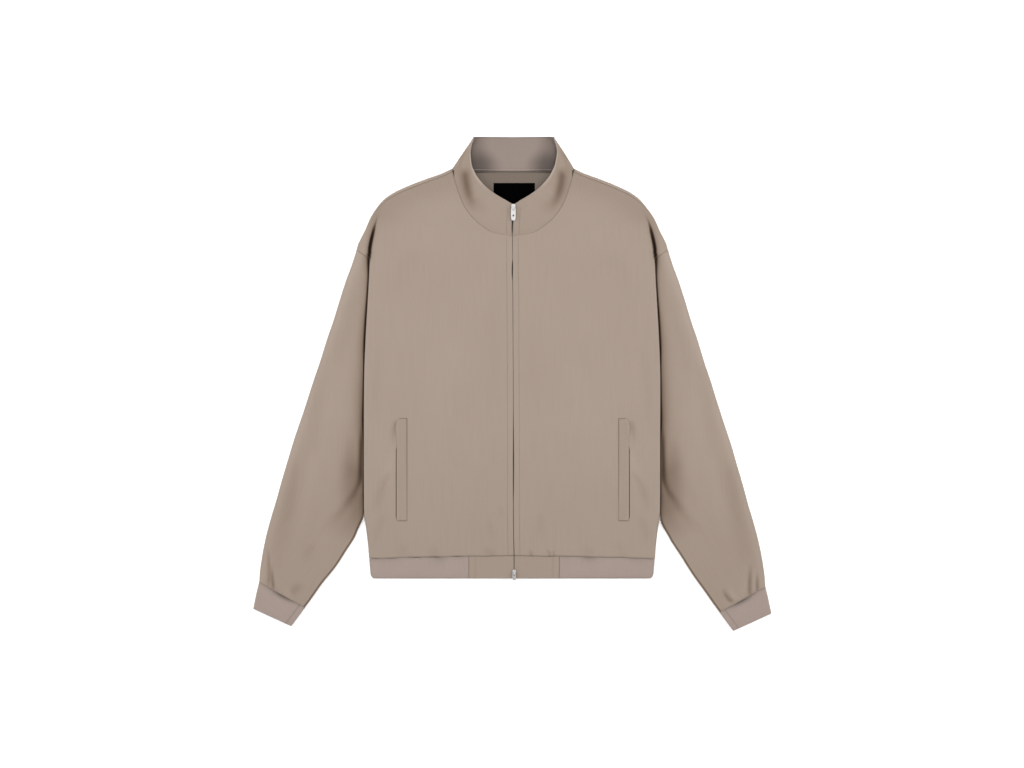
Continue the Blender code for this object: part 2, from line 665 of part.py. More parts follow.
def main():
    clear_scene()
    parts = new_collection("track_jacket")
    cutters = new_collection("cutters")
    for side, word in ((-1, "right"), (1, "left")):
        def cloth(piece, grid, thickness, colour, roughness, **options):
            name = f"{piece}_{word}"
            material = make_material(name, colour, roughness)
            return cloth_object(name, grid, thickness, material, parts, **options)

        up = side > 0
        cloth("front", front_grid(side), WOVEN, OUTER_CLOTH, 0.8, flip=up)
        cloth("sleeve", sleeve_grid(side), WOVEN, OUTER_CLOTH, 0.8, closed=True, flip=up)
        cloth("cuff", cuff_grid(side), CUFF_WALL, RIB_CLOTH, 0.95, closed=True, flip=up)
        cloth("pocket_welt", welt_grid(side), WELT_CLOTH, OUTER_CLOTH, 0.8, flip=not up)
        cloth("hem_tab", hem_tab_grid(side), WOVEN, OUTER_CLOTH, 0.8, flip=not up)
        cloth("zip_tape", tape_grid(side), TAPE_CLOTH, TAPE_COLOUR, 0.9, flip=not up)

    def piece(name, grid, thickness, colour, roughness, flip, depth=0.0):
        material = make_material(name, colour, roughness)
        return cloth_object(name, grid, thickness, material, parts, flip=flip, depth=depth)

    piece("back", back_grid(), WOVEN, OUTER_CLOTH, 0.8, False)
    piece("collar_outer", collar_grid(0), COLLAR_CLOTH, OUTER_CLOTH, 0.8, True)
    piece("collar_inner", collar_grid(1), COLLAR_KNIT, RIB_CLOTH, 0.95, True,
          depth=COLLAR_CLOTH + 1.5 * GAP)
    piece("hem_rib", hem_grid(), RIB, RIB_CLOTH, 0.95, False)
    piece("zip_coil", coil_grid(), COIL_THICKNESS, TAPE_COLOUR, 0.5, False)
    piece("neck_label", label_grid(), LABEL_CLOTH, LABEL_BLACK, 0.7, False)

    for word, slider in (("top", TOP_SLIDER), ("end", END_SLIDER)):
        metal = make_material(f"slider_{word}", SILVER, 0.3, 1.0)
        make_slider(f"slider_{word}", slider, metal, parts, cutters)
        metal = make_material(f"pull_tab_{word}", SILVER, 0.25, 1.0)
        make_pull_tab(f"pull_tab_{word}", slider, metal, parts, cutters)


main()
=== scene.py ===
"""Track jacket laid flat and zipped to the neck: its cloth, rib, zip, stitching and label.

X runs to the wearer's left, Y from hem to collar and Z up. Tables and sizes are in millimetres,
as a pattern maker writes them, and meshes in metres. Each panel is the outer face of the cloth,
worked out as a grid of points and given its wall by Solidify.
"""

import json
import math

import bpy
import numpy as np
from bpy.props import FloatProperty, FloatVectorProperty, PointerProperty
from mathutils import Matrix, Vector
from mathutils.bvhtree import BVHTree

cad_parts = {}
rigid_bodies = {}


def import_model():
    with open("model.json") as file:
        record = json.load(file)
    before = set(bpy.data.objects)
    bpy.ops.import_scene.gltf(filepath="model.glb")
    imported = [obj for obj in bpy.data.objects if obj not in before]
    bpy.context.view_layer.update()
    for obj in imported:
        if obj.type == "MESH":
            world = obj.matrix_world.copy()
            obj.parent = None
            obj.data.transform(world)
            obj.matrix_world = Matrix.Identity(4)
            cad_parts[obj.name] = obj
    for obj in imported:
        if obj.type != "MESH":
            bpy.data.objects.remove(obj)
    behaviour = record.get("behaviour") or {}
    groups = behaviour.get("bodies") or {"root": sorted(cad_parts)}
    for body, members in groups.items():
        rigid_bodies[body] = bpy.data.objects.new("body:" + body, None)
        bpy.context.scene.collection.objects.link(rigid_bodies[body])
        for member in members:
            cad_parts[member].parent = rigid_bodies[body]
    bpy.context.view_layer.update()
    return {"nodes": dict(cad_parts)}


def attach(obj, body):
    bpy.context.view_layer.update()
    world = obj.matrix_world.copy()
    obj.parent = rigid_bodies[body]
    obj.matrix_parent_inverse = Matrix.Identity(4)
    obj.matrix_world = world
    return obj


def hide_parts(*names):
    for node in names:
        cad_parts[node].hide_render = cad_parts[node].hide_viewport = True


bl_info = {
    "name": "Track jacket",
    "version": (1, 0, 0),
    "blender": (4, 5, 0),
    "location": "View3D > Sidebar > Jacket",
    "description": "Builds a zipped track jacket laid flat, from its cut and its sewn details",
    "category": "Object",
}

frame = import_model()

MM = 0.001

# Cloth walls and the clearances between pieces
WOVEN = 1.5
COLLAR_CLOTH = 1.4
COLLAR_KNIT = 1.5
CUFF_WALL = 1.6
HEM_WALL = 1.8
WELT_CLOTH = 0.55
WELT_WALL = 0.6 * WELT_CLOTH
WELT_LIFT = 0.05
TAPE_CLOTH = 1.0
LABEL_CLOTH = 0.7
GAP = 0.3
SEAM_GAP = 1.5 * GAP
WRAP_GAP = 0.45

# Height of the flat garment and the radius at which its sides turn under
BODY_HEIGHT = 7.0
FOLD = BODY_HEIGHT / 2
QUARTER = math.pi * FOLD / 2
SLEEVE_HEIGHT = 6.8
SLEEVE_CLOSER = 1.3
CUFF_HEIGHT = 6.4
HEM_HEIGHT = 7.2
LEFT_SLEEVE_DROP = 7.6
RIGHT_ELBOW_BAG = 3.2
LEFT_OUT = 2.2
LEFT_OUT_HEM = 1.3

# Lengths along the body
HEM_SEAM = -277.5
HEM_RISE = (-274.8, -276.5, -279.5)
HEM_END = -311.2
HEM_TAB_WIDTH = 72.6
HEM_LEVELS = (0.0, 0.02, 0.05, 0.1, 0.16, 0.24, 0.34, 0.46, 0.6, 0.75, 0.88, 0.94, 0.98, 1.0)
BACK_NECK = 341.6
NECK_CENTRE = 2.4
ZIP_ROLL = 0.55

# Columns of half of the collar, and those of them that are eased to the zip
COLLAR_COLUMNS = 64
ZIP_COLUMNS = 8

# Pocket welts: an upright strip on each front, its opening at the outer edge
WELT_INNER = 168.8
WELT_OUTER = 185.6
WELT_TOP = -54.6
WELT_BOTTOM = -219.2
WELT_LEFT_SHIFT = 1.9
MOUTH_TOP = -101.0
MOUTH_WIDTH = 1.25

# Zip
COIL_WIDTH = 4.6
TAPE_WIDTH = 10.0
ZIP_TOP = 287.0
ZIP_END = -309.0
ZIP_STITCH = 9.4

# Width of the picture in points
PICTURE_WIDTH = 1024

LABEL_CENTRE = 4.2
LABEL_WIDTH = 66.0
LABEL_TOP = 322.0
LABEL_HEIGHT = 46.0


def table(columns, rows):
    """Return the columns of a short table as named arrays."""
    return dict(zip(columns.split(), np.array(rows, float).T))


# Line of the zip, and half of the slit between the front edges, wider where it gapes
ZIP_LINE = table("y x gap", [
    (-312, 4.2, 0.5), (-296, 4.1, 0.5), (-278, 4, 0.45), (-240, 3.2, 0.35),
    (-190, 2.8, 0.3), (-168, 2.9, 0.6), (-120, 3, 0.8), (-66, 2.8, 0.4),
    (-40, 2.8, 0.2), (60, 2.4, 0.15), (166, 1.7, 0.2), (176, 1.2, 0.85),
    (190, 1.3, 0.9), (200, 1.6, 0.1), (238, 1.2, 0.25), (246, 1, 0.9),
    (262, 1.6, 1.1), (274, 2.4, 1.2), (290, 3, 1.2),
])

COLLAR = table("seam_x seam_y edge_x edge_y edge_height dip", [
    (0, 236.8, 0, 288, 8.6, 0),
    (31.1, 242.3, 29.2, 304.8, 9.2, 0.3),
    (46.5, 251, 43.5, 316.2, 9.5, 0.8),
    (58, 260.3, 53, 326.5, 9.7, 1.3),
    (67, 269.2, 60, 336.5, 9.8, 1.6),
    (79.4, 288, 66.4, 353, 9.6, 1.9),
    (88, 310, 68, 371, 9, 1.6),
    (93.9, 329.5, 65.8, 384, 8.4, 0.8),
])
NECK_END = len(COLLAR["seam_x"]) - 1

# Half of the body, one row for each section from the neck down to the hem seam; side: the
# outline; inward: the direction in degrees from it into the panel; seam: how far, along the
# cloth, the back wraps over it; reach: where the rounded edge ends; groove: the fold that
# parts front and sleeve, its distance from the outline and its depth
BODY = table("front_y back_y side_x side_y inward seam reach groove depth", [
    (0, 341.2, 98.6, 344.3, 250, 6.6, 9, 0, 0),
    (0, 330, 113, 337.6, 249, 6.8, 12, 0, 0),
    (0, 316, 139.4, 328, 250, 7, 17, 0, 0),
    (0, 302, 164, 318.4, 249, 7, 17, 0, 0),
    (0, 288, 190, 306.1, 240, 6.6, 17, 0, 0),
    (0, 276, 205.4, 294.9, 225, 5.6, 17, 7, 0),
    (0, 264, 217.6, 279.8, 212, 4, 19, 9.8, 0.3),
    (0, 252, 225.2, 267.6, 205, 2.4, 21, 10.6, 1.1),
    (232, 238, 233.4, 249, 203, 1, 24, 13.2, 2.9),
    (214, 216, 247.8, 214.8, 192, 0.4, 31, 21.2, 3.7),
    (204, 206, 238.6, 207.4, 184, -1, 22, 10.6, 3.7),
    (194, 194, 228, 199.8, 180, -3.2, 9, 0.6, 2.2),
    (176, 176, 228.6, 178, 180, -5.3, 8, 0, 0),
    (134.4, 134.4, 231, 134.4, 180, -5.3, 8, 0, 0),
    (70, 70, 234.6, 70, 180, -5.3, 8, 0, 0),
    (5, 5, 236.8, 5, 180, -5.3, 8, 0, 0),
    (-54, -54, 237.2, -54, 180, -5.3, 8, 0, 0),
    (-110, -110, 237.2, -110, 180, -5.3, 8, 0, 0),
    (-160, -160, 237.2, -160, 180, -5.3, 8, 0, 0),
    (-200, -200, 237, -200, 180, -5.3, 8, 0, 0),
    (-232, -232, 232.9, -232, 180, -5.3, 8, 0, 0),
    (-258, -258, 229.8, -258, 180, -5.3, 8, 0, 0),
    (-275.9, -277.2, 228.2, -277.2, 180, -5.3, 8, 0, 0),
])
ARMHOLE_END = 11
GROOVE_WIDTH = 7.0

# Painted shadows where the fronts bag over the waistband: place, width and how dark
HEM_BAGS = ((-116, 12, 0.17), (124, 13, 0.17), (-196, 16, 0.07),
            (202, 16, 0.07), (86, 7, 0.06), (-84, 8, 0.05))

COLLAR_FOLD_SEAM = (97.1, 345.1)
COLLAR_FOLD_EDGE = (62.4, 396.1)
COLLAR_TOP_CENTRE = 395.3
COLLAR_FOLD_RADIUS = (4.2, 4.5)
TUCK_FALL = 34.0
COLLAR_ROLL = 1.5

# A sleeve from the armhole seam to the cuff seam: outer and inner edge, the height at the
# inner edge, and how far the cloth dips towards the body
SLEEVE = table("out_x out_y in_x in_y in_height dip", [
    (248.6, 213.6, 229.4, 200.2, 4.2, 8),
    (256.4, 189, 229.2, 175, 4.2, 16),
    (264.9, 166.4, 231, 146, 4.2, 24),
    (275.2, 134.4, 233.4, 112, 4.2, 34),
    (285, 102.4, 235.6, 74, 4.2, 40),
    (296, 70.4, 237.3, 38, 4.2, 45),
    (305.9, 38.4, 238, 2, 4.2, 48),
    (316.9, 6.4, 238.3, -34, 4.2, 50),
    (327.1, -25.6, 238.4, -70, 4.2, 52),
    (337.7, -57.6, 238.4, -106, 4.2, 54),
    (348.6, -89.6, 238.4, -142, 4.2, 54),
    (358.2, -121.6, 238.4, -177, 4.2, 54),
    (367.8, -153.6, 237.8, -208.5, 4.4, 50),
    (376.6, -185.6, 249.5, -238, 5.4, 36),
    (386.2, -217.6, 268, -267, 6.2, 26),
    (394.4, -249.6, 287, -297, 6.5, 20),
    (400.4, -281.6, 307.5, -325.5, 6.5, 16),
    (403.4, -305, 323.6, -348.4, 6.5, 14),
    (404, -316.6, 330.4, -357.4, 6.4, 12),
])

# Shadow of the body on a sleeve, by the height of its inner edge. core: width of the black
# line at the edge; near and reach: share of light lost beside it and how far; trough, at and
# wide: the deep crease that leaves the edge at the elbow; far: loss over the whole elbow
SLEEVE_SHADOW = table("y core near reach trough at wide far", [
    (230, 3.5, 0.35, 5, 0, 2, 4, 0),
    (195, 4.4, 0.4, 5, 0, 2, 4, 0),
    (173, 3.5, 0.42, 4.5, 0, 2, 4, 0),
    (134, 3.3, 0.4, 5, 0, 2, 4, 0),
    (90, 3.6, 0.52, 6, 0, 2, 4, 0),
    (70, 3.7, 0.5, 7.5, 0, 2, 4, 0),
    (22, 1.8, 0.56, 9, 0, 2, 4, 0),
    (-18, 2.1, 0.66, 9.5, 0, 2, 4, 0),
    (-58, 3, 0.68, 10, 0.12, 2.6, 4, 0),
    (-102, 0.6, 0.4, 15, 0.76, 4, 4.9, 0.05),
    (-128, 0.5, 0.32, 13, 0.76, 4.8, 4.9, 0.2),
    (-150, 0.5, 0.34, 9, 0.7, 5.4, 4.9, 0.38),
    (-170, 0.8, 0.52, 5, 0.5, 11, 4.2, 0.38),
    (-186, 0.8, 0.56, 6.5, 0.38, 18.4, 5, 0.38),
    (-202, 0.7, 0.48, 6, 0.22, 28, 6.5, 0.38),
    (-220, 0.4, 0.3, 5, 0.16, 37, 8, 0.3),
    (-240, 0, 0.05, 4, 0.06, 43, 9, 0.14),
    (-262, 0, 0, 4, 0, 48, 10, 0),
    (-360, 0, 0, 4, 0, 48, 10, 0),
])

CUFF = table("out_x out_y in_x in_y", [
    (404.1, -317.1, 330.7, -357.9),
    (407.6, -331, 337.8, -367.6),
    (410.7, -345.4, 345.3, -377.6),
    (413.6, -359.6, 352.6, -387.6),
])

# Creases: soft troughs, or ridges where the depth is below zero, from one point to another
# with a bow to one side; dark: the share of light that the crease's bottom loses. x is given
# for the wearer's right and left with its own sign.
CREASES = "x0 y0 x1 y1 bow wide0 wide1 depth dark"
FRONT_CREASES = table(CREASES, [
    (-196, -144, -216, -208, 4, 5, 8, 0.8, 0.1), (196, -144, 219, -208, -4, 5, 8, 0.8, 0.1),
    (-204, -212, -220, -262, 2, 6, 8, 0.4, 0.06), (205, -214, 221, -262, -2, 6, 8, 0.4, 0.06),
    (-188, -110, -204, -176, 2, 7, 9, -0.5, -0.05), (190, -112, 206, -178, -2, 7, 9, -0.5, -0.05),
    (-186, -60, -190, -96, 1, 4, 4, 0.7, 0.16), (192, -60, 196, -96, -1, 4, 4, 0.7, 0.16),
    (-122, -279, -126, -258, 0, 8, 9, 0.6, 0.07), (121, -279, 125, -258, 0, 8, 9, 0.6, 0.07),
    (-178, -279, -170, -252, 1, 6, 7, 0.5, 0.05), (180, -279, 170, -250, -1, 6, 7, 0.5, 0.05),
    (-28, -276, -46, -262, 0, 7, 7, 0.4, 0.1), (32, -277, 30, -266, 0, 2.4, 3, 0.7, 0.22),
    (62, -277, 58, -264, 0, 2, 2.6, 0.8, 0.24), (68, -277, 66, -266, 0, 2, 2.4, 0.7, 0.24),
    (65, -276, 62, -260, 0, 2.4, 2.4, -0.5, -0.06), (-36, -218, -26, -252, 2, 5, 7, 0.4, 0.05),
    (46, -208, 42, -256, -2, 6, 8, 0.4, 0.05), (-18, -196, -14, -214, 0, 5, 5, 0.3, 0.04),
    (-150, 210, -196, 120, 8, 16, 22, 0.5, 0.03), (152, 206, 198, 116, -8, 16, 22, 0.5, 0.03),
    (-100, 60, -128, -110, 5, 24, 30, -0.5, -0.02), (96, 40, 120, -120, -5, 24, 30, -0.5, -0.02),
    (-30, 120, -26, -90, 2, 14, 18, 0.35, 0.02), (34, 90, 30, -110, -2, 14, 18, 0.35, 0.02),
    (-212, 60, -218, -70, 2, 7, 9, 0.4, 0.04), (214, 50, 219, -80, -2, 7, 9, 0.4, 0.04),
])
SLEEVE_CREASES = table(CREASES, [
    (-240.6, -84, -245, -164, 0, 4, 4.4, 1.2, 0), (-242.5, -142, -275, -226, -2.5, 4, 8, 1.4, 0),
    (242.6, -84, 247, -164, 0, 4, 4.4, 1.2, 0), (244.5, -142, 277, -226, 2.5, 4, 8, 1.4, 0),
    (-256, -90, -282, -196, -6, 9, 16, 0.5, 0.08), (258, -94, 290, -200, 6, 9, 16, 0.5, 0.08),
    (-262, -196, -262, -224, 2, 8, 8, -0.6, -0.05), (268, -204, 270, -232, -2, 8, 8, -0.6, -0.05),
    (-388, -321, -391, -262, 2, 3.2, 2.6, 1.2, 0.26),
    (-381, -327, -383, -290, -1, 2.4, 2, 1.6, 0.42),
    (-384.6, -322, -386.5, -272, 1, 2.6, 2.6, -0.9, -0.14),
    (-372, -330, -379, -268, -2, 7, 5, -0.6, -0.06), (-352, -336, -333, -322, -2, 8, 6, 0.9, 0.16),
    (-362, -344, -354, -318, 1, 9, 6, -0.5, -0.04), (-318, -258, -330, -288, 3, 7, 8, 0.5, 0.07),
    (353, -349, 338, -328, -2, 3.4, 3, 1.4, 0.34), (361, -346, 347, -326, -1, 5, 4, -0.7, -0.08),
    (381, -338, 383, -290, -1, 3, 2.4, 1.3, 0.34), (393, -332, 393, -304, 0, 2.6, 2, 1.3, 0.32),
    (388, -332, 388, -294, 0, 3, 2.8, -0.8, -0.12), (371, -340, 376, -276, 2, 7, 5, -0.6, -0.06),
    (-300, 40, -330, -80, 2, 9, 12, 0.5, 0.06), (304, 30, 334, -90, -2, 9, 12, 0.5, 0.06),
    (-284, 30, -300, -80, 2, 8, 10, -0.4, -0.04), (287, 24, 304, -86, -2, 8, 10, -0.4, -0.04),
    (-346, -120, -372, -250, -3, 8, 12, 0.6, 0.08), (350, -130, 376, -256, 3, 8, 12, 0.6, 0.08),
    (-318, -110, -340, -250, -2, 12, 16, -0.5, -0.04),
    (322, -116, 344, -256, 2, 12, 16, -0.5, -0.04),
])
COLLAR_CREASES = table(CREASES, [
    (-75, 340, -59.5, 276, 2, 7.2, 7.4, 1.1, 0.44), (-84, 350, -74, 286, -2, 12, 12, 0.2, 0.12),
    (80.5, 340, 62, 276, -4.6, 7.2, 7.4, 1.1, 0.44), (91, 350, 80, 286, 2, 12, 12, 0.2, 0.12),
    (-60, 296, -40, 268, -2, 8, 8, 0.5, 0.07), (66, 296, 46, 268, 2, 8, 8, 0.5, 0.07),
    (-76, 378, -86, 352, 0, 5, 6, 0.3, 0.2), (82, 378, 92, 352, 0, 5, 6, 0.3, 0.2),
])


def steps(lengths, size):
    """Row positions that keep every given row, with even steps of about one size between."""
    counts = np.maximum(1, np.round(lengths / size)).astype(int)
    return np.r_[*(i + np.arange(n) / n for i, n in enumerate(counts)), len(counts)]


def smooth(knots, values, at):
    """Carry values at knots to other places by a cubic that never overshoots: the slope at a
    knot is the harmonic mean of those on its two sides, and zero where they differ in sign."""
    values = np.asarray(values, float)
    gaps = np.diff(knots)
    shape = (-1,) + (1,) * (values.ndim - 1)
    chord = np.diff(values, axis=0) / gaps.reshape(shape)
    product = chord[:-1] * chord[1:]
    total = np.where(product > 0.0, chord[:-1] + chord[1:], 1.0)
    slope = np.concatenate([chord[:1], np.where(product > 0.0, 2.0 * product / total, 0.0),
                            chord[-1:]])
    k = np.clip(np.searchsorted(knots, at, side="right") - 1, 0, len(gaps) - 1)
    size = gaps[k].reshape(shape)
    u = ((at - knots[k]) / gaps[k]).reshape(shape)
    v = 1.0 - u
    return ((1.0 + 2.0 * u) * v * v * values[k] + u * v * v * size * slope[k]
            + u * u * (3.0 - 2.0 * u) * values[k + 1] - u * u * v * size * slope[k + 1])


def ramp(low, high, value):
    """0 below low, 1 above high and 3u^2 - 2u^3 between."""
    u = np.clip((value - low) / (high - low), 0.0, 1.0)
    return u * u * (3.0 - 2.0 * u)


def bell(value, wide, power=2):
    """1 at zero, falling to 1/e at a width: exp of minus value over width to a power."""
    return np.exp(-(value / wide) ** power)


def mix(first, second, part):
    return first * (1.0 - part) + second * part


def unit(vectors):
    return vectors / np.maximum(np.linalg.norm(vectors, axis=-1, keepdims=True), 1e-9)


def mesh_grid(x, y, z):
    """Points from three arrays of coordinates that fit each other."""
    return np.stack(np.broadcast_arrays(x, y, z), axis=2)


def run_of(x, y):
    """Length along a row of points, from its first one."""
    return np.append(0.0, np.cumsum(np.hypot(np.diff(x), np.diff(y))))


def carried(source, x, y, place):
    """A table's columns at row positions, along the line of two of them."""
    run = run_of(source[x], source[y])
    at = np.interp(place, np.arange(len(run)), run)
    return {name: smooth(run, column, at) for name, column in source.items()}


def rows_of(source, x, y, size):
    """A table carried to closer rows, about one size apart, and their row positions."""
    place = steps(np.diff(run_of(source[x], source[y])), size)
    return carried(source, x, y, place), place


def zip_x(y):
    return smooth(ZIP_LINE["y"], ZIP_LINE["x"], np.asarray(y, float))


def zip_gap(y):
    return np.interp(y, ZIP_LINE["y"], ZIP_LINE["gap"])


def crease_depth(creases, x, y):
    """Depth of all creases at plan points, and the light that they lose: each is depth times a
    bell across its line, which bows by a parabola, times a soft start and a softer end."""
    total, lost = np.zeros(np.shape(x)), np.zeros(np.shape(x))
    for x0, y0, x1, y1, bow, wide0, wide1, depth, dark in zip(*creases.values()):
        length = math.hypot(x1 - x0, y1 - y0)
        ux, uy = (x1 - x0) / length, (y1 - y0) / length
        along = ((x - x0) * ux + (y - y0) * uy) / length
        across = (x - x0) * uy - (y - y0) * ux - bow * 4.0 * along * (1.0 - along)
        wide = mix(wide0, wide1, np.clip(along, 0.0, 1.0))
        share = ramp(-0.12, 0.12, along) * ramp(1.15, 0.45, along) * bell(across, wide)
        total, lost = total + depth * share, lost + dark * share
    return total, lost


def fold_profile(arc):
    """Distance inside the outline and height at an arc length round the side fold: a half
    circle as high as the garment, flat beyond it; arc 0 is the outline at half height."""
    turn = np.clip(arc / FOLD, -math.pi / 2, math.pi / 2)
    inside = FOLD * (1.0 - np.cos(turn)) + np.maximum(np.abs(arc) - QUARTER, 0.0)
    return inside, FOLD * (1.0 + np.sin(turn))


def normals(grid):
    """Unit normals of a grid: its column direction crossed with its row direction."""
    return unit(np.cross(np.gradient(grid, axis=1), np.gradient(grid, axis=0)))


def even_columns(grid, count):
    """A grid carried to columns spread evenly along its mean length, and their lengths."""
    step = np.linalg.norm(np.diff(grid[..., :3], axis=1), axis=2).mean(axis=0)
    run = np.append(0.0, np.cumsum(step))
    at = np.linspace(0.0, run[-1], count)
    k = np.clip(np.searchsorted(run, at, side="right") - 1, 0, len(run) - 2)
    part = ((at - run[k]) / (run[k + 1] - run[k]))[None, :, None]
    return mix(grid[:, k], grid[:, k + 1], part), at


def cloth_uv(grid):
    """Lengths of cloth in millimetres: across from the middle column, along by the mean row."""
    step = np.linalg.norm(np.diff(grid, axis=1), axis=2)
    across = np.concatenate([np.zeros((len(grid), 1)), np.cumsum(step, axis=1)], axis=1)
    across = across - across[:, across.shape[1] // 2][:, None]
    rise = np.linalg.norm(np.diff(grid, axis=0), axis=2).mean(axis=1)
    along = np.append(0.0, np.cumsum(rise))
    return np.stack([across, np.broadcast_to(along[:, None], across.shape)], axis=2)


# ---- the cloth's surfaces -------------------------------------------------------------------

def neck_line(place):
    """Points of the collar's seam at station positions 0 (zip) to NECK_END (side)."""
    row = carried(COLLAR, "seam_x", "seam_y", place)
    return np.column_stack([row["seam_x"], row["seam_y"]])


def body_ends(place, side):
    """Where each front section ends: a gap off the collar's seam, eased to the zip as the
    collar's own columns are, or at the zip, in even steps down to the hem."""
    q = np.clip(NECK_END - place, 0.0, NECK_END)
    along = unit(neck_line(np.minimum(q + 0.05, NECK_END)) - neck_line(np.maximum(q - 0.05, 0.0)))
    seam = neck_line(q) + SEAM_GAP * np.column_stack([along[:, 1], -along[:, 0]])
    knots = np.arange(NECK_END, len(BODY["front_y"]), dtype=float)
    values = np.append(COLLAR["seam_y"][0] - SEAM_GAP, BODY["front_y"][NECK_END + 1:])
    below = smooth(knots, values, np.maximum(place, NECK_END))
    y = np.where(place <= NECK_END, seam[:, 1], below)
    at_zip = side * zip_x(y) + zip_gap(y)
    middle = side * NECK_CENTRE
    ease = np.clip(1.0 - q * (COLLAR_COLUMNS - 1) / NECK_END / ZIP_COLUMNS, 0.0, 1.0)
    x = np.where(place < NECK_END, seam[:, 0] + middle + ease * (at_zip - middle), at_zip)
    return np.column_stack([np.maximum(x, at_zip), y])


def body_sheet(rows, arcs, ends, span, side):
    """Points over the side fold at the arcs, then straight on to the ends: the fold's profile
    laid along each section's inward direction from the outline, which moves a little with the
    neck near the collar."""
    shift = side * NECK_CENTRE * ramp(280.0, 345.0, rows["side_y"])
    outline = np.column_stack([rows["side_x"] + shift + side_out(side, rows["side_y"]),
                               rows["side_y"]])
    angle = np.radians(rows["inward"])
    inward = np.column_stack([np.cos(angle), np.sin(angle)])
    inside, height = fold_profile(arcs)
    edge = outline[:, None] + inside[:, :, None] * inward[:, None]
    last = edge[:, -1:]
    rest = last + (ends[:, None] - last) * span[None, :, None]
    plan = np.concatenate([edge, rest], axis=1)
    tall = np.concatenate([height, np.repeat(height[:, -1:], len(span), axis=1)], axis=1)
    return plan, tall, inside


def edge_roll(distance, radius):
    """How far a folded edge drops: a quarter circle over its last stretch."""
    near = np.clip(1.0 - distance / radius, 0.0, 1.0)
    return radius * (1.0 - np.sqrt(1.0 - near * near))


def front_sheet(side):
    """A front's face and its painted shade. Height: side fold, less the armhole groove, the
    creases, and a roll at the zip's edge, never below the floor. Shade: painted shadow in the
    creases and painted light on the ridges, painted shadow in the armhole groove and in the
    crevice beside the sleeve, a painted highlight just inside that crevice, less light at the
    shoulder and towards the hem, and a dark line along the neck's seam."""
    rows, place = rows_of(BODY, "side_x", "side_y", 3.4)
    ends = body_ends(place, side)
    start = rows["seam"] + WRAP_GAP / 2
    arcs = start[:, None] + (rows["reach"] - start)[:, None] * np.linspace(0.0, 1.0, 34)
    span = np.r_[np.linspace(0.0, 0.955, 72)[1:], 0.97, 0.982, 0.99, 0.995, 0.998, 1.0]
    plan, tall, inside = body_sheet(rows, arcs, ends, span, side)
    edge = np.s_[:, :inside.shape[1]]
    depth, fold = rows["depth"][:, None], rows["groove"][:, None]
    off = np.abs(inside - fold) / GROOVE_WIDTH
    core = bell(off, 0.16 + 0.19 * ramp(1.5, 3.6, depth), 4)
    tall[edge] -= depth * (0.6 * core + 0.4 * np.clip(1.0 - off, 0.0, 1.0) ** 2)
    x, y = side * plan[..., 0], plan[..., 1]
    y = y + (hem_line(x[-1:]) - y[-1:]) * ramp(-250.0, -275.0, y)
    on_top = ramp(4.5, 6.5, tall)
    crease, lost = crease_depth(FRONT_CREASES, x, y)
    to_zip = plan[..., 0] - ends[:, :1]
    below_neck = (place > NECK_END)[:, None]
    tall = tall - crease * on_top - np.where(below_neck, edge_roll(to_zip, ZIP_ROLL), 0.0)

    shade = 1.0 - lost * on_top
    deep = depth / depth.max()
    # Painted shadow in the armhole groove: a black core with softer shade beside it.
    beside = np.where(inside > fold, 0.14, 0.46)
    shade[edge] *= 1.0 - 0.98 * core ** 0.4 * ramp(0.1, 0.9, deep) - (
        1.0 - core) * beside * deep * bell(off, 0.9)
    from_seam = np.linalg.norm(plan - plan[:, :1], axis=2)
    shoulder = ramp(ARMHOLE_END - 2.0, ARMHOLE_END - 5.0, place)[:, None]
    # Rows below the armhole where the sleeve lies beside the body: there the body's side edge gets
    # a painted shadow of the crevice, with a painted highlight just inside it.
    crevice_shadow = (ramp(ARMHOLE_END - 0.6, ARMHOLE_END, place)
                 * ramp(-222.0, -200.0, rows["side_y"]))[:, None]
    # Painted shade: less light at the shoulder and towards the hem; a dark line along the neck's
    # seam.
    shade *= 1.0 - 0.13 * shoulder * bell(from_seam, 40.0)
    shade[edge] *= 1.0 - crevice_shadow * (0.95 * bell(inside, 0.9, 4) - 0.1 * bell(inside - 1.9, 0.8))
    shade *= 1.0 - 0.42 * (1.0 - below_neck) * bell(to_zip, 0.9)
    shade *= 1.0 - 0.035 * ramp(-60.0, -260.0, y)
    return mesh_grid(x, y, np.maximum(tall, 0.0)), shade


def back_sheet():
    """The back's face from one wrap over the shoulders to the other, flat underneath."""
    rows, place = rows_of(BODY, "side_x", "side_y", 6.0)
    wrapped = ramp(ARMHOLE_END, ARMHOLE_END - 1.0, place)
    end = mix(-QUARTER - GAP, rows["seam"] - WRAP_GAP / 2, wrapped)
    stop = np.minimum(end - 3.0, -QUARTER - 3.0)
    arcs = end[:, None] + (stop - end)[:, None] * np.linspace(0.0, 1.0, 16)
    centre = np.column_stack([np.zeros(len(place)), rows["back_y"]])
    halves = []
    for side in (1, -1):
        plan, tall, _ = body_sheet(rows, arcs, centre, np.linspace(0.0, 1.0, 40)[1:], side)
        halves.append(mesh_grid(side * plan[..., 0], plan[..., 1], tall))
    return np.concatenate([halves[0], halves[1][:, :-1][:, ::-1]], axis=1)


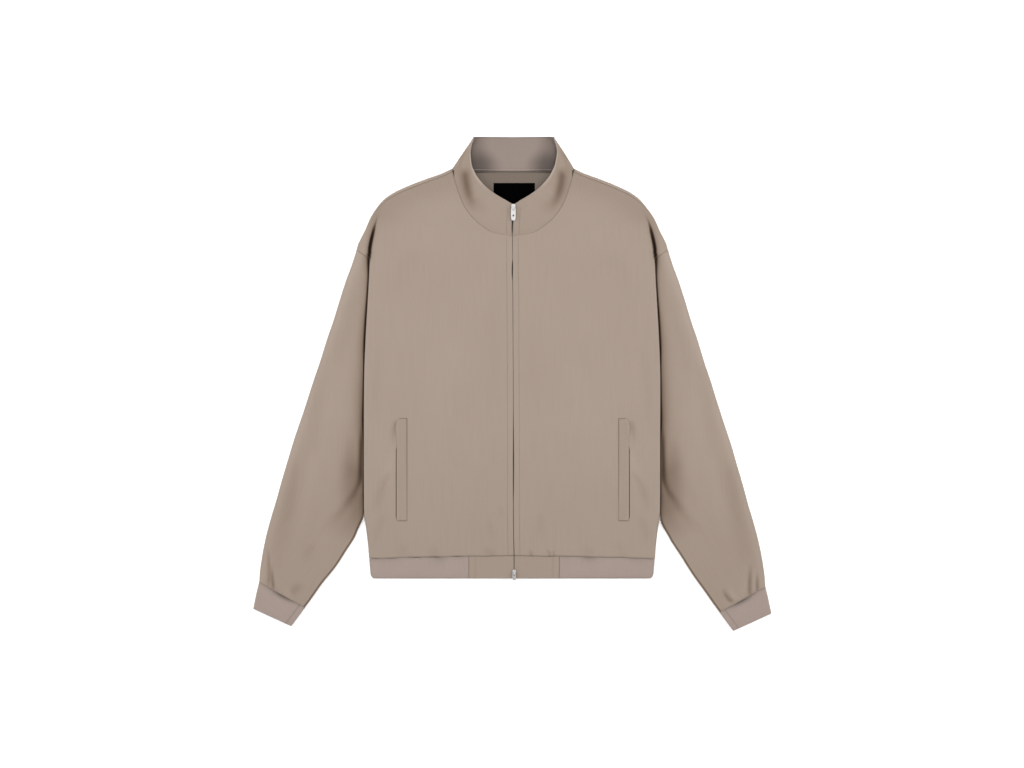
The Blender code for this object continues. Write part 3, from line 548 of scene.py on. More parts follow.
def tube_sheet(outer, inner, height_out, height_in, dip):
    """A flattened tube: over the top, round the inner fold, back underneath and round the outer
    fold, each fold a half circle, the top falling softly towards the inner one."""
    width = np.linalg.norm(inner - outer, axis=1)[:, None]
    across = (inner - outer) / width
    out, into = height_out[:, None] / 2, height_in[:, None] / 2
    turn = np.linspace(0.0, math.pi / 2, 9)[None, :]
    fall = np.linspace(math.pi / 2, -math.pi / 2, 17)[None, :]
    top = np.r_[np.linspace(0.0, 0.94, 54)[1:-1], np.linspace(0.94, 1.0, 12)[:-1]][None, :]
    under = np.linspace(1.0, 0.0, 16)[None, 1:-1]
    flat = width - out - into
    place = np.concatenate([
        out * (1.0 - np.cos(turn)), out + flat * top, width - into * (1.0 - np.cos(fall)),
        out + flat * under, out * (1.0 - np.cos(turn[:, :0:-1])),
    ], axis=1)
    drop = ramp(0.0, 1.0, flat * (1.0 - top) / dip[:, None])
    tall = np.concatenate([
        out * (1.0 + np.sin(turn)), 2.0 * (into + (out - into) * drop),
        into * (1.0 + np.sin(fall)), np.zeros((len(width), under.shape[1])),
        out * (1.0 - np.sin(turn[:, :0:-1])),
    ], axis=1)
    return outer[:, None] + place[..., None] * across[:, None], tall, place, width


def drop_of(side, y):
    """How far the left sleeve lies lower than the right one, growing towards the cuff."""
    return (side > 0) * LEFT_SLEEVE_DROP * ramp(160.0, -240.0, y)


def out_of(side, y):
    """How far the left sleeve lies further out than the right one."""
    return (side > 0) * LEFT_OUT * ramp(292.0, 256.0, y)


def side_out(side, y):
    """How far the body's left side lies further out than its right one, less at the hem."""
    return out_of(side, y) * mix(1.0, LEFT_OUT_HEM / LEFT_OUT, ramp(60.0, -90.0, y))


def limb_edges(rows, side, into):
    """A sleeve's or cuff's outer and inner edge, the inner one moved out by into."""
    drop = drop_of(side, rows["out_y"])
    return (np.column_stack([rows["out_x"] + out_of(side, rows["out_y"]), rows["out_y"] - drop]),
            np.column_stack([rows["in_x"] + into, rows["in_y"] - drop]))


def sleeve_sheet(side):
    """A sleeve's face and its painted shade: a flattened tube less its creases; painted shadow in
    the creases and beside the body, a dark underarm seam, less light towards the cuff, a painted
    highlight along the outer edge, and darker tucked ends.
    """
    rows, place = rows_of(SLEEVE, "out_x", "out_y", 3.6)
    in_y = rows["in_y"]
    into = mix(out_of(side, rows["out_y"]), side_out(side, in_y), ramp(-240.0, -215.0, in_y))
    into -= SLEEVE_CLOSER * ramp(-240.0, -190.0, in_y)
    into -= RIGHT_ELBOW_BAG * (side < 0) * bell(in_y + 270.0, 36.0, 4)
    outer, inner = limb_edges(rows, side, into)
    tall_out = np.full(len(place), SLEEVE_HEIGHT)
    plan, tall, across, width = tube_sheet(outer, inner, tall_out, rows["in_height"], rows["dip"])
    x, y = side * plan[..., 0], plan[..., 1]
    on_top = ramp(0.35, 0.6, tall / SLEEVE_HEIGHT)
    crease, lost = crease_depth(SLEEVE_CREASES, x, y)
    to_body = width - across
    lengthwise = inner[:, 1][:, None]
    shade = (1.0 - lost * on_top) * sleeve_shadow(to_body, lengthwise)
    seam = 0.88 * bell(to_body - 2.3, 0.8) + 0.25 * bell(to_body, 0.6)
    shade *= 1.0 - ramp(-200.0, -226.0, lengthwise) * seam * (tall > 2.5)
    # Painted shade: less light towards the cuff; a painted highlight along the outer edge and
    # painted shade a little inside it.
    shade *= 1.0 - 0.09 * ramp(-40.0, -260.0, y)
    shade *= 1.0 + 0.1 * bell(across - 5.0, 6.0) - 0.05 * bell(across - 26.0, 11.0)
    # Painted shade: the rows tucked in at each end are drawn at half the light of their
    # neighbours.
    grid = tucked_ends(mesh_grid(x, y, tall - crease * on_top), 1.3)
    return grid, np.concatenate([shade[:1] * 0.5, shade, shade[-1:] * 0.5])


def sleeve_shadow(to_body, lengthwise):
    """Light left beside the body: the black line, the shadow next to it that falls off by e,
    the elbow's crease, a bell about its own distance, and the elbow's broad shadow."""
    up = SLEEVE_SHADOW["y"][::-1]
    core, near, reach, trough, at, wide, far = (
        smooth(up, SLEEVE_SHADOW[name][::-1], lengthwise[:, 0])[:, None]
        for name in ("core", "near", "reach", "trough", "at", "wide", "far"))
    line = 0.97 * bell(to_body, np.maximum(core, 0.05), 4) * np.minimum(core, 1.0)
    beside = near * np.exp(-np.maximum(to_body - core, 0.0) / reach)
    return (1.0 - line) * (1.0 - beside) * (1.0 - trough * bell(to_body - at, wide)) * (
        1.0 - far * bell(to_body, 36.0, 4))


def tucked_ends(grid, length):
    """A grid with a row more at each end, carried on by a length and drawn in to half of its
    height above the middle, as a seam turned inside."""
    ends = []
    for last, before in ((grid[0], grid[1]), (grid[-1], grid[-2])):
        row = last.copy()
        row[:, :2] += unit((last - before)[:, :2].mean(axis=0)) * length
        row[:, 2] = SLEEVE_HEIGHT / 2 + (row[:, 2] - SLEEVE_HEIGHT / 2) * 0.72
        ends.append(row[None])
    return np.concatenate([ends[0], grid, ends[1]])


def cuff_sheet(side):
    """A cuff's face and shade: a flattened ring, dark under the sleeve that bags over it, with
    its side seam along the inner edge."""
    rows, _ = rows_of(CUFF, "out_x", "out_y", 2.0)
    outer, inner = limb_edges(rows, side, out_of(side, rows["out_y"]))
    tall = np.full(len(outer), CUFF_HEIGHT - 2 * GAP)
    plan, tall, across, width = tube_sheet(outer, inner, tall, tall, np.full(len(outer), 8.0))
    down = run_of(rows["out_x"], rows["out_y"])[:, None]
    bagged = bell(across / width - 0.52, 0.24)
    shade = 1.0 - 0.58 * bagged * bell(down, 5.5) - 0.14 * bell(down, 2.5)
    shade *= 1.0 - 0.32 * bell(width - across - 9.6, 0.9) * (tall > 0.5 * CUFF_HEIGHT)
    return mesh_grid(side * plan[..., 0], plan[..., 1], tall + GAP), shade


def collar_half(levels):
    """Half of the collar's outer face at some levels, zip to centre back: straight from seam
    to edge in front, round the side fold, and flat at the back; the front dips by sin^2."""
    level = levels[:, None]
    station = np.linspace(0.0, NECK_END, COLLAR_COLUMNS)
    seam_x, seam_y, edge_x, edge_y, edge_height, dip = (
        column[None, :] for column in carried(COLLAR, "seam_x", "seam_y", station).values())
    front = np.stack([mix(seam_x, edge_x, level), mix(seam_y, edge_y, level)], axis=2)
    tucked = np.minimum(level, 0.0)
    front_z = mix(BODY_HEIGHT, edge_height, level) - dip * np.sin(math.pi * level) ** 2 + (
        TUCK_FALL * tucked)

    radius = mix(*COLLAR_FOLD_RADIUS, level)
    corner = mix(np.array(COLLAR_FOLD_SEAM), np.array(COLLAR_FOLD_EDGE), level)
    square = np.array([-0.822, -0.569])
    over, under = (mix(square, np.array(at_edge), level)[:, None]
                   for at_edge in ((0.2, -0.98), (-1.0, -0.02)))
    turn = np.linspace(math.pi / 2, -math.pi / 2, 25)[None, :, None]
    turned = ramp(0.35, -0.35, turn)
    way = mix(over, under, turned)
    fold = corner[:, None] + radius[:, :, None] * (1.0 - np.cos(turn)) * way
    fold_z = radius * (1.0 + np.sin(turn[..., 0])) + 0.5 * TUCK_FALL * tucked * turned[..., 0]

    centre_y = mix(BACK_NECK, COLLAR_TOP_CENTRE, level)
    centre = np.concatenate([np.zeros_like(centre_y), centre_y], axis=1)[:, None]
    back = mix(fold[:, -1:], centre, np.linspace(0.0, 1.0, 36)[None, 1:, None])
    plan = np.concatenate([front, fold, back], axis=1)
    tall = np.concatenate([front_z, np.maximum(fold_z, 0.0), np.zeros(back.shape[:2])], axis=1)
    return np.concatenate([plan, tall[..., None]], axis=2)


def collar_sheet(levels, skip):
    """The collar's whole face; skip leaves out its first points at each front end. With none
    left out its edge is rolled, and its ends are eased to the zip."""
    half = collar_half(levels)[:, skip:]
    whole = skip == 0
    if whole:
        to_edge = np.linalg.norm(half - half[-1:], axis=2)
        half[..., 2] -= edge_roll(to_edge, COLLAR_ROLL) * ramp(3.5, 7.0, half[..., 2])
    shift = np.array([NECK_CENTRE, 0.0, 0.0])
    left = half + shift
    right = half[:, :-1][:, ::-1] * (-1.0, 1.0, 1.0) + shift
    left[..., 0] += LEFT_OUT * ramp(336.0, 378.0, left[..., 1]) * ramp(10.0, 60.0, left[..., 0])
    if whole:
        y, n = half[:, 0, 1], ZIP_COLUMNS
        ease = (1.0 - np.arange(n) / n)[None, :]
        left[:, :n, 0] += ease * (zip_x(y) + zip_gap(y) - left[:, 0, 0])[:, None]
        right[:, -n:, 0] += ease[:, ::-1] * (zip_x(y) - zip_gap(y) - right[:, -1, 0])[:, None]
    return np.concatenate([left, right], axis=1)


def edge_distances(grid):
    """How far each point lies from its column's last and from its first one."""
    return np.linalg.norm(grid - grid[-1:], axis=2), np.linalg.norm(grid - grid[:1], axis=2)


def collar_shade(grid):
    """Painted shade and light of the collar's outside: painted shadow in its creases, a painted
    highlight along the rolled edge with a dark seam line below it, and painted shade along the
    neck's seam, darkest on the seam itself."""
    x, y, z = np.moveaxis(grid, 2, 0)
    _, lost = crease_depth(COLLAR_CREASES, x, y)
    to_edge, to_neck = edge_distances(grid)
    aside = ramp(38.0, 60.0, np.abs(x - NECK_CENTRE))
    rim = (0.22 * bell(to_edge - 3.6, 3.8, 4) - 0.16 * bell(to_edge - 7.4, 0.9)) * aside
    seam = 0.06 * np.exp(-to_neck / 7.0) + 0.46 * bell(to_neck, 0.8)
    return 0.955 + ramp(3.5, 6.0, z) * (rim - 0.96 * lost) - seam


def neck_rise(face, level):
    """How far the rib's lower edge is pulled up at the centre of the back neck: a flat bell
    across, fading up the collar, at the back only."""
    at_back = ramp(325.0, 335.0, face[..., 1])
    return 2.8 * bell(face[..., 0] - NECK_CENTRE, 50.0, 4) * ramp(0.3, -0.02, level) * at_back


def rib_shade(grid):
    """Shade of the collar's inside: dark towards the side folds and along its edges."""
    to_edge, to_neck = edge_distances(grid)
    low = ramp(384.0, 352.0, grid[..., 1])
    aside = np.abs(grid[..., 0] - NECK_CENTRE)
    away = ramp(0.0, 1.0, (aside - 34.0 + 20.0 * low) / (26.0 + 12.0 * low))
    return 0.82 - (0.24 + 0.26 * low) * away - 0.1 * bell(to_edge, 2.2) - 0.1 * bell(to_neck, 5.0)


def hem_line(x):
    """Where a front ends above the waistband, a little higher at the zip and slightly wavy."""
    away = np.abs(x)
    wave = 0.3 * np.sin(x / 13.0 + 1.0) + 0.2 * np.sin(x / 5.3)
    return np.interp(away, (4.0, 120.0, 228.0), HEM_RISE) + wave * ramp(8.0, 30.0, away)


def band_y(x, level):
    """Heights on the waistband, from below the fronts' hem line to its lower end."""
    return mix(hem_line(x) - GAP, HEM_END, level)


def hem_sheet():
    """The waistband's face from one front tab round the back to the other, a flattened ring
    whose lower edge rolls in."""
    level = np.array(HEM_LEVELS)[:, None]
    radius = HEM_HEIGHT / 2
    side_x = np.interp(level, (0.0, 0.85, 1.0), (228.0, 225.8, 221.5)) + LEFT_OUT_HEM
    tab_x = zip_x(HEM_SEAM) + HEM_TAB_WIDTH + GAP
    span = np.linspace(0.0, 1.0, 60)[None, :-1]
    turn = np.linspace(math.pi / 2, -math.pi / 2, 17)[None, :]
    fold_x = side_x - radius * (1.0 - np.cos(turn))
    back_x = fold_x[:, -1:] * np.linspace(1.0, 0.0, 60)[None, 1:]
    x = np.concatenate([mix(tab_x, side_x - radius, span), fold_x, back_x], axis=1)
    y = band_y(x, level)
    roll = edge_roll((y - HEM_END)[:, :1], 1.6)
    tall = np.concatenate([(HEM_HEIGHT - roll) * np.ones_like(span),
                           radius * (1.0 + np.sin(turn)) - roll * np.sin(turn),
                           roll * np.ones_like(back_x)], axis=1)
    half = mesh_grid(x, y, tall)
    other = half[:, :-1][:, ::-1] * (-1.0, 1.0, 1.0)
    other[:, -span.shape[1]:, 0] += (2.0 * zip_x(HEM_SEAM) * (1.0 - span))[:, ::-1]
    other[..., 0] += LEFT_OUT_HEM * ramp(120.0, 200.0, -other[..., 0])
    return np.concatenate([half, other], axis=1)


def hem_shade(grid):
    """Shade of the waistband: dark where the fronts bag over it, and along its lower edge."""
    x, y, _ = np.moveaxis(grid, 2, 0)
    down = y[:1] - y
    shade = 1.0 - 0.1 * bell(down, 2.6) - 0.06 * np.exp(-(y - HEM_END) / 2.0)
    for place, width, dark in HEM_BAGS:
        shade -= dark * bell(x - place, width) * bell(down, 8.0)
    return shade


def tab_sheet(side):
    """A plain woven tab of the waistband beside the zip, and its painted shade: a little darker
    overall, in painted shadow under the fronts' hem and along its end, with a dark seam line.
    """
    across = np.r_[0.0, 0.004, 0.01, 0.018, np.linspace(0.03, 1.0, 40)]
    level = np.r_[np.linspace(0.0, 0.94, 14), 0.96, 0.975, 0.99, 1.0][:, None]
    gap = zip_gap(HEM_SEAM)
    x = zip_x(HEM_SEAM) + side * mix(gap, HEM_TAB_WIDTH, across)[None, :]
    y = band_y(x, level)
    to_zip = np.abs(x - zip_x(HEM_SEAM)) - gap
    tall = BODY_HEIGHT - edge_roll(y - HEM_END, 1.3) - edge_roll(to_zip, ZIP_ROLL)
    from_end = HEM_TAB_WIDTH * (1.0 - across)
    shade = 0.94 - 0.07 * bell(from_end - 10.4, 1.4) - 0.1 * bell(from_end, 1.2) - (
        0.06 * np.exp(-(y[:1] - y) / 2.0))
    return mesh_grid(x, y, tall), shade


def welt_sheet(side):
    """A pocket welt's face and its painted shade: nearly flush, its top outer corner rounded and
    bulging, and beside its outer edge the mouth of the pocket, a narrow strip painted dark for the
    shadow in the opening, open below MOUTH_TOP. Its ends get painted shade, its inner edge a dark
    line and its outer edge a painted highlight."""
    across = np.r_[0.0, 0.02, 0.05, 0.09, np.linspace(0.15, 0.88, 16), 0.93, 0.96, 0.98, 0.992,
                   np.ones(4)][None, :]
    mouth = np.r_[np.zeros(across.size - 3), 0.15, 0.6, 1.0][None, :]
    level = np.r_[0.0, 0.002, 0.006, 0.012, np.linspace(0.03, 0.97, 60), 0.988, 0.994, 0.998,
                  1.0][:, None]
    y = mix(WELT_TOP, WELT_BOTTOM, level)
    width = WELT_OUTER - WELT_INNER
    down = WELT_TOP - y
    corner = 6.0 * (1.0 - np.sqrt(np.clip(1.0 - (down / 6.0 - 1.0) ** 2, 0.0, 1.0)))
    bulge = 1.6 * bell(down - 17.0, 9.0)
    rounded = np.where(down < 6.0, corner, 0.0) - bulge
    open_ = ramp(MOUTH_TOP + 4.0, MOUTH_TOP - 6.0, y) * ramp(
        WELT_BOTTOM + 1.0, WELT_BOTTOM + 8.0, y) + 0.15
    x = WELT_INNER + width * across + side * WELT_LEFT_SHIFT
    x = x - rounded * ramp(0.55, 1.0, across) + MOUTH_WIDTH * open_ * mouth
    ends = np.minimum(down, y - WELT_BOTTOM)
    tall = (BODY_HEIGHT + WELT_LIFT + WELT_CLOTH + 0.25 * np.sin(math.pi * across)
            + 0.5 * bulge * across ** 2 - edge_roll(ends, 0.6) - edge_roll(width * across, 0.7))
    tall = np.where(mouth > 0.0, BODY_HEIGHT + WELT_LIFT + WELT_WALL, tall)
    shade = 0.94 - 0.3 * bell(ends, 1.0) - 0.34 * bell(width * across, 1.3) * ramp(
        WELT_BOTTOM, WELT_BOTTOM + 120.0, y)
    # Painted shadow: the mouth strip is drawn dark for the shade inside the pocket's opening.
    shade *= 1.0 - np.clip(mouth * 3.0, 0.0, 1.0) * (0.36 + 0.62 * np.minimum(open_, 1.0))
    return mesh_grid(side * x, y, tall), shade + 0.04 * bell(width * (1.0 - across), 2.5)


def cloth_top(y):
    """Height of the cloth's face beside the zip."""
    return np.interp(y, (236.8, 288.0), (BODY_HEIGHT, COLLAR["edge_height"][0]))


# ---- finishes -------------------------------------------------------------------------------

TURN = 2.0 * math.pi


class Value:
    """A shader socket that takes part in sums: each operator adds its Math node."""

    def __init__(self, finish, socket):
        self.finish = finish
        self.socket = socket

    def math(self, operation, *terms):
        return self.finish.node("ShaderNodeMath", {"operation": operation},
                                dict(enumerate(terms)))

    def __add__(self, other):
        return self.math("ADD", self, other)

    def __sub__(self, other):
        return self.math("SUBTRACT", self, other)

    def __rsub__(self, other):
        return self.math("SUBTRACT", other, self)

    def __mul__(self, other):
        return self.math("MULTIPLY", self, other)

    def __truediv__(self, other):
        return self.math("DIVIDE", self, other)

    def __pow__(self, other):
        return self.math("POWER", self, other)

    __radd__ = __add__
    __rmul__ = __mul__

    def sine(self):
        return self.math("SINE", self)

    def wave(self, period):
        """From 0 to 1 and back once in a period: half of the sine, plus a half."""
        return (self * (TURN / period)).sine() * 0.5 + 0.5

    def band(self, low, high):
        """0 below low and 1 above high, with a soft step."""
        return self.finish.node("ShaderNodeMapRange", {"interpolation_type": "SMOOTHSTEP"},
                                {"Value": self, "From Min": low, "From Max": high})


class Finish:
    """A Principled material; every further node comes from node()."""

    def __init__(self, name, **constants):
        self.material = bpy.data.materials.new(name)
        self.material.use_nodes = True
        self.tree = self.material.node_tree
        self.shader = self.tree.nodes["Principled BSDF"]
        for socket, value in constants.items():
            self.shader.inputs[socket.replace("_", " ")].default_value = value

    def node(self, kind, settings=None, inputs=None, output=0):
        """Add a node: its settings first, then its sockets' values or links."""
        made = self.tree.nodes.new(kind)
        for name, value in (settings or {}).items():
            setattr(made, name, value)
        for name, value in (inputs or {}).items():
            if isinstance(value, Value):
                self.tree.links.new(value.socket, made.inputs[name])
            else:
                made.inputs[name].default_value = value
        return Value(self, made.outputs[output])

    def set(self, name, value):
        self.tree.links.new(value.socket, self.shader.inputs[name])

    def part(self, vector, index):
        """One of a vector's three parts."""
        return self.node("ShaderNodeSeparateXYZ", None, {0: vector}, index)

    def cut(self):
        """The two lengths of the cloth's own map, in millimetres."""
        uv = self.node("ShaderNodeUVMap", {"uv_map": "cut"})
        return self.part(uv, 0), self.part(uv, 1)

    def join(self, x, y, z=0.0):
        return self.node("ShaderNodeCombineXYZ", None, {0: x, 1: y, 2: z})

    def noise(self, vector, scale, detail=2.0):
        return self.node("ShaderNodeTexNoise", None,
                         {"Vector": vector, "Scale": scale, "Detail": detail})

    def shade(self):
        return self.node("ShaderNodeAttribute", {"attribute_name": "shade"}, output="Fac")

    def upward(self):
        """How far the surface faces up: the third part of its normal."""
        return self.part(self.node("ShaderNodeNewGeometry", output="Normal"), 2)

    def place(self):
        return self.node("ShaderNodeTexCoord", output="Object")

    def colour(self, colour, factor, warm=0.0):
        """Set the base colour to a colour times a factor, its shadows browner by warm."""
        grey = self.join(factor ** (1.0 - warm), factor, factor ** (1.0 + warm))
        self.set("Base Color", self.node("ShaderNodeVectorMath", {"operation": "MULTIPLY"},
                                         {0: grey, 1: tuple(colour)[:3]}))

    def bump(self, height, distance):
        self.set("Normal", self.node("ShaderNodeBump", None,
                                     {"Height": height, "Distance": distance}))


def woven_finish(name, look, deep=1.0):
    """Fine twill: diagonal ribs of the two lengths of the cut, upright slubs, and broad uneven
    tone; the shade attribute paints shade into the colour in creases, folds and tucked-in places,
    and painted highlights along some edges. deep scales the colour darker, for the copy with
    painted shade on the back's inside."""
    finish = Finish(name, Roughness=look.roughness, Sheen_Weight=look.sheen, Sheen_Roughness=0.45,
                    Specular_IOR_Level=0.1)
    across, along = finish.cut()
    twill = (across + along).wave(look.twill)
    thread = along.wave(look.twill * 0.7)
    slub = finish.noise(finish.join(across / 2.6, along / 70.0), 1.0, 3.0)
    tone = finish.noise(finish.place(), 9.0)
    grain = finish.noise(finish.join(across, along), 1.4, 1.0)
    factor = finish.shade() * (1.0 + (slub - 0.5) * 0.10 + (tone - 0.5) * 0.07
                               + (grain - 0.5) * 0.06 + (twill - 0.5) * 0.05)
    finish.colour([c * deep for c in look.colour], factor, 0.13)
    finish.bump(twill * 0.6 + thread * 0.25 + grain * 0.5 + slub * 1.2, 0.00006)
    return finish.material


def knit_finish(name, look):
    """Rib knit: small loops along each wale, heathered yarn, and painted shade between the wales;
    the shade attribute paints shade into the colour.
    """
    finish = Finish(name, Roughness=0.92, Sheen_Weight=look.sheen, Sheen_Roughness=0.6,
                    Specular_IOR_Level=0.1)
    across, along = finish.cut()
    wale = across.wave(look.wale)
    loops = (along * (TURN / look.course)
             + (across * (2.0 * TURN / look.wale)).sine() * 1.1).sine() * 0.5 + 0.5
    heather = finish.noise(finish.join(across / 0.8, along / 1.4), 1.0)
    tone = finish.noise(finish.place(), 22.0)
    finish.colour(look.colour, finish.shade() * (
        1.0 + (heather - 0.5) * 0.28 + (tone - 0.5) * 0.05 + (wale - 0.5) * 0.05
        + (loops - 0.5) * 0.06))
    finish.bump(loops * 0.7 + heather * 0.6, 0.00012)
    return finish.material


def satin_finish(name, colour):
    """Label satin: long fine floats across the label, which also vary its roughness."""
    finish = Finish(name, Specular_IOR_Level=0.0)
    across, along = finish.cut()
    floats = finish.noise(finish.join(across / 4.0, along * 3.0), 1.0)
    finish.colour(colour, 0.8 + floats * 0.4)
    finish.set("Roughness", 0.36 + floats * 0.12)
    finish.bump(floats, 0.00004)
    return finish.material


def tape_finish(name, colour):
    """Zip tape: a plain weave of cords running with the zip."""
    finish = Finish(name, Roughness=0.85, Specular_IOR_Level=0.1)
    across, along = finish.cut()
    cords, picks = across.wave(0.9), along.wave(0.5)
    finish.colour(colour, 0.85 + cords * 0.15 + picks * 0.1)
    finish.bump(cords * 0.8 + picks * 0.4, 0.0001)
    return finish.material


def plain_finish(name, colour, roughness, metallic=0.0, wear=0.1):
    """Thread, moulded teeth or polished metal: an even colour with small uneven patches, and on
    metal painted shade on the sides that don't face up."""
    finish = Finish(name, Metallic=metallic, Roughness=roughness)
    patches = finish.noise(finish.place(), 900.0, 3.0) - 0.5
    tone = 1.0 + patches * wear
    # Painted shade: metal that doesn't face up is drawn darker.
    if metallic == 1.0:
        tone = tone * (0.15 + finish.upward().band(0.8, 1.0) * 0.85)
    finish.colour(colour, tone)
    finish.set("Roughness", roughness * (1.0 + patches * 0.5))
    return finish.material


# ---- meshes ---------------------------------------------------------------------------------

def linked(name, data):
    """A new object of some data, in the scene."""
    item = bpy.data.objects.new(name, data)
    bpy.context.scene.collection.objects.link(item)
    return item


def shown(name, points, faces, material):
    """A smooth mesh from points in millimetres, riding on the jacket."""
    mesh = bpy.data.meshes.new(name)
    mesh.from_pydata((points * MM).tolist(), [], faces)
    mesh.shade_smooth()
    mesh.materials.append(material)
    item = linked(name, mesh)
    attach(item, "jacket")
    return item


def cloth(name, stands_for, grid, wall, material, shade=1.0, closed=False,
          flip=False, uv=None):
    """A panel: quads between neighbouring points of its face, a wall growing inwards, its cloth
    map and its shade."""
    rows, columns = grid.shape[:2]
    index = np.arange(rows * columns).reshape(rows, columns)
    ring = np.concatenate([grid, grid[:, :1]], axis=1) if closed else grid
    uv = cloth_uv(ring) if uv is None else uv
    cut = np.arange(uv.shape[0] * uv.shape[1]).reshape(uv.shape[:2])
    if closed:
        index = np.column_stack([index, index[:, :1]])
    quads, corners = (np.stack([one[:-1, :-1], one[1:, :-1], one[1:, 1:], one[:-1, 1:]],
                               axis=-1).reshape(-1, 4) for one in (index, cut))
    if flip:
        quads, corners = quads[:, ::-1], corners[:, ::-1]
    item = shown(name, grid.reshape(-1, 3), quads.tolist(), material)
    layer = item.data.uv_layers.new(name="cut")
    layer.data.foreach_set("uv", uv.reshape(-1, 2)[corners.ravel()].astype(np.float32).ravel())
    tones = np.clip(np.broadcast_to(shade, grid.shape[:2]), 0.02, 1.5).astype(np.float32)
    item.data.attributes.new("shade", "FLOAT", "POINT").data.foreach_set("value", tones.ravel())
    solid = item.modifiers.new("wall", "SOLIDIFY")
    solid.thickness = wall * MM
    solid.offset = -1.0
    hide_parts(stands_for)
    return item


def knit_relief(grid, shade, look, out):
    """A face and its shade carried to columns a sixth of a wale apart, and the face raised
    along its normals by a rounded wave; out is 1 or -1, the way that the normals point out."""
    both = np.concatenate([grid, shade[..., None]], axis=2)
    length = even_columns(both, 2)[1][-1]
    wales = max(2, round(length / look.wale))
    even, at = even_columns(both, wales * 6 + 1)
    even, shade = even[..., :3], even[..., 3]
    wave = np.sqrt(np.abs(np.cos(math.pi * at * wales / length)))[None, :, None]
    return even + normals(even) * (out * look.relief * (wave - 1.0)), shade


def bars(name, starts, ends, radius, material, sides=6):
    """Stitches or teeth: round bars with tapered ends from starts to ends, bowed up in the
    middle. Each ring is a circle about the line, its radius following a half ellipse."""
    along = np.array([0.0, 0.12, 0.5, 0.88, 1.0])
    swell = np.array([0.25, 0.85, 1.0, 0.85, 0.25])
    lift = np.array([-0.5, 0.1, 0.45, 0.1, -0.5]) * radius
    line = ends - starts
    way = unit(line)
    side = unit(np.cross(way, np.broadcast_to(np.array([0.0, 0.0, 1.0]), way.shape)))
    top = np.cross(side, way)
    turn = np.linspace(0.0, TURN, sides, endpoint=False)[None, None, :, None]
    centre = starts[:, None] + line[:, None] * along[None, :, None] + (
        top[:, None] * lift[None, :, None])
    ring = np.cos(turn) * side[:, None, None] + np.sin(turn) * top[:, None, None]
    points = centre[:, :, None] + radius * swell[None, :, None, None] * ring
    count = len(along)
    base = np.arange(count * sides).reshape(count, sides)
    following = np.roll(base, -1, axis=1)
    quads = np.stack([base[:-1], following[:-1], following[1:], base[1:]], axis=-1)
    caps = [np.stack([np.full(sides - 2, row[0]), row[1:-1], row[2:]], axis=1)
            for row in (base[0][::-1], base[-1])]
    offsets = (np.arange(len(starts)) * count * sides)[:, None, None]
    faces = [*(quads.reshape(-1, 4)[None] + offsets).reshape(-1, 4).tolist(),
             *(np.concatenate(caps)[None] + offsets).reshape(-1, 3).tolist()]
    return shown(name, points.reshape(-1, 3), faces, material)


def seam_stitches(name, lines, piece, look, material):
    """Stitches laid along plan lines on the top of the piece under them."""
    tree = BVHTree.FromObject(piece, bpy.context.evaluated_depsgraph_get())
    down = Vector((0.0, 0.0, -1.0))
    found = []
    for line in lines:
        run = run_of(line[:, 0], line[:, 1])
        count = max(1, int(run[-1] // look.stitch))
        near = (np.arange(count) + 0.5 * (1.0 - look.cover)) * look.stitch
        at = np.stack([near, near + look.cover * look.stitch], axis=1)
        plan = np.stack([np.interp(at, run, line[:, 0]), np.interp(at, run, line[:, 1])], axis=2)
        for pair in plan.tolist():
            hits = [tree.ray_cast(Vector((x * MM, y * MM, 0.05)), down)[0] for x, y in pair]
            if None not in hits:
                found.append([(x, y, hit.z / MM) for (x, y), hit in zip(pair, hits)])
    radius = look.thread / 2
    starts, ends = np.moveaxis(np.array(found), 1, 0) - (0.0, 0.0, 0.25 * radius)
    return bars(name, starts, ends, radius, material)


# ---- settings -------------------------------------------------------------------------------

class JacketCloth(bpy.types.PropertyGroup):
    colour: FloatVectorProperty(name="Colour", description="Colour of the woven cloth",
                                subtype="COLOR", default=(0.2235, 0.1790, 0.1460))
    # Painted shade: the back's inside is drawn as a copy of the woven cloth darkened to this
    # share, standing in for the shadow in the neck.
    reverse: FloatProperty(name="Reverse", description="How dark the cloth's wrong side is",
                           default=0.52, min=0.2, max=1.0)
    roughness: FloatProperty(name="Roughness", description="Roughness of the woven cloth",
                             default=0.78, min=0.0, max=1.0)
    sheen: FloatProperty(name="Sheen", description="Soft sheen of the cloth's nap",
                         default=0.06, min=0.0, max=1.0)
    twill: FloatProperty(name="Twill", description="Width of a twill line, in millimetres",
                         default=0.9, min=0.2)


class JacketRib(bpy.types.PropertyGroup):
    colour: FloatVectorProperty(name="Colour", description="Colour of the rib knit",
                                subtype="COLOR", default=(0.2230, 0.1780, 0.1555))
    wale: FloatProperty(name="Wale", description="Width of a rib, in millimetres",
                        default=2.4, min=0.8)
    course: FloatProperty(name="Course", description="Height of a row of loops, in millimetres",
                          default=1.3, min=0.4)
    relief: FloatProperty(name="Relief", description="Depth between the ribs, in millimetres",
                          default=0.28, min=0.0)
    sheen: FloatProperty(name="Sheen", description="Soft sheen of the yarn",
                         default=0.08, min=0.0, max=1.0)


class JacketSewing(bpy.types.PropertyGroup):
    colour: FloatVectorProperty(name="Colour", description="Colour of the thread",
                                subtype="COLOR", default=(0.060, 0.046, 0.037))
    light: FloatVectorProperty(name="Light", description="Colour of the neck seam's thread",
                               subtype="COLOR", default=(0.42, 0.34, 0.29))
    stitch: FloatProperty(name="Stitch", description="Length of a stitch, in millimetres",
                          default=3.0, min=1.0)
    cover: FloatProperty(name="Cover", description="Share of a stitch that shows",
                         default=0.76, min=0.3, max=1.0)
    thread: FloatProperty(name="Thread", description="Thickness of the thread, in millimetres",
                          default=0.46, min=0.1)


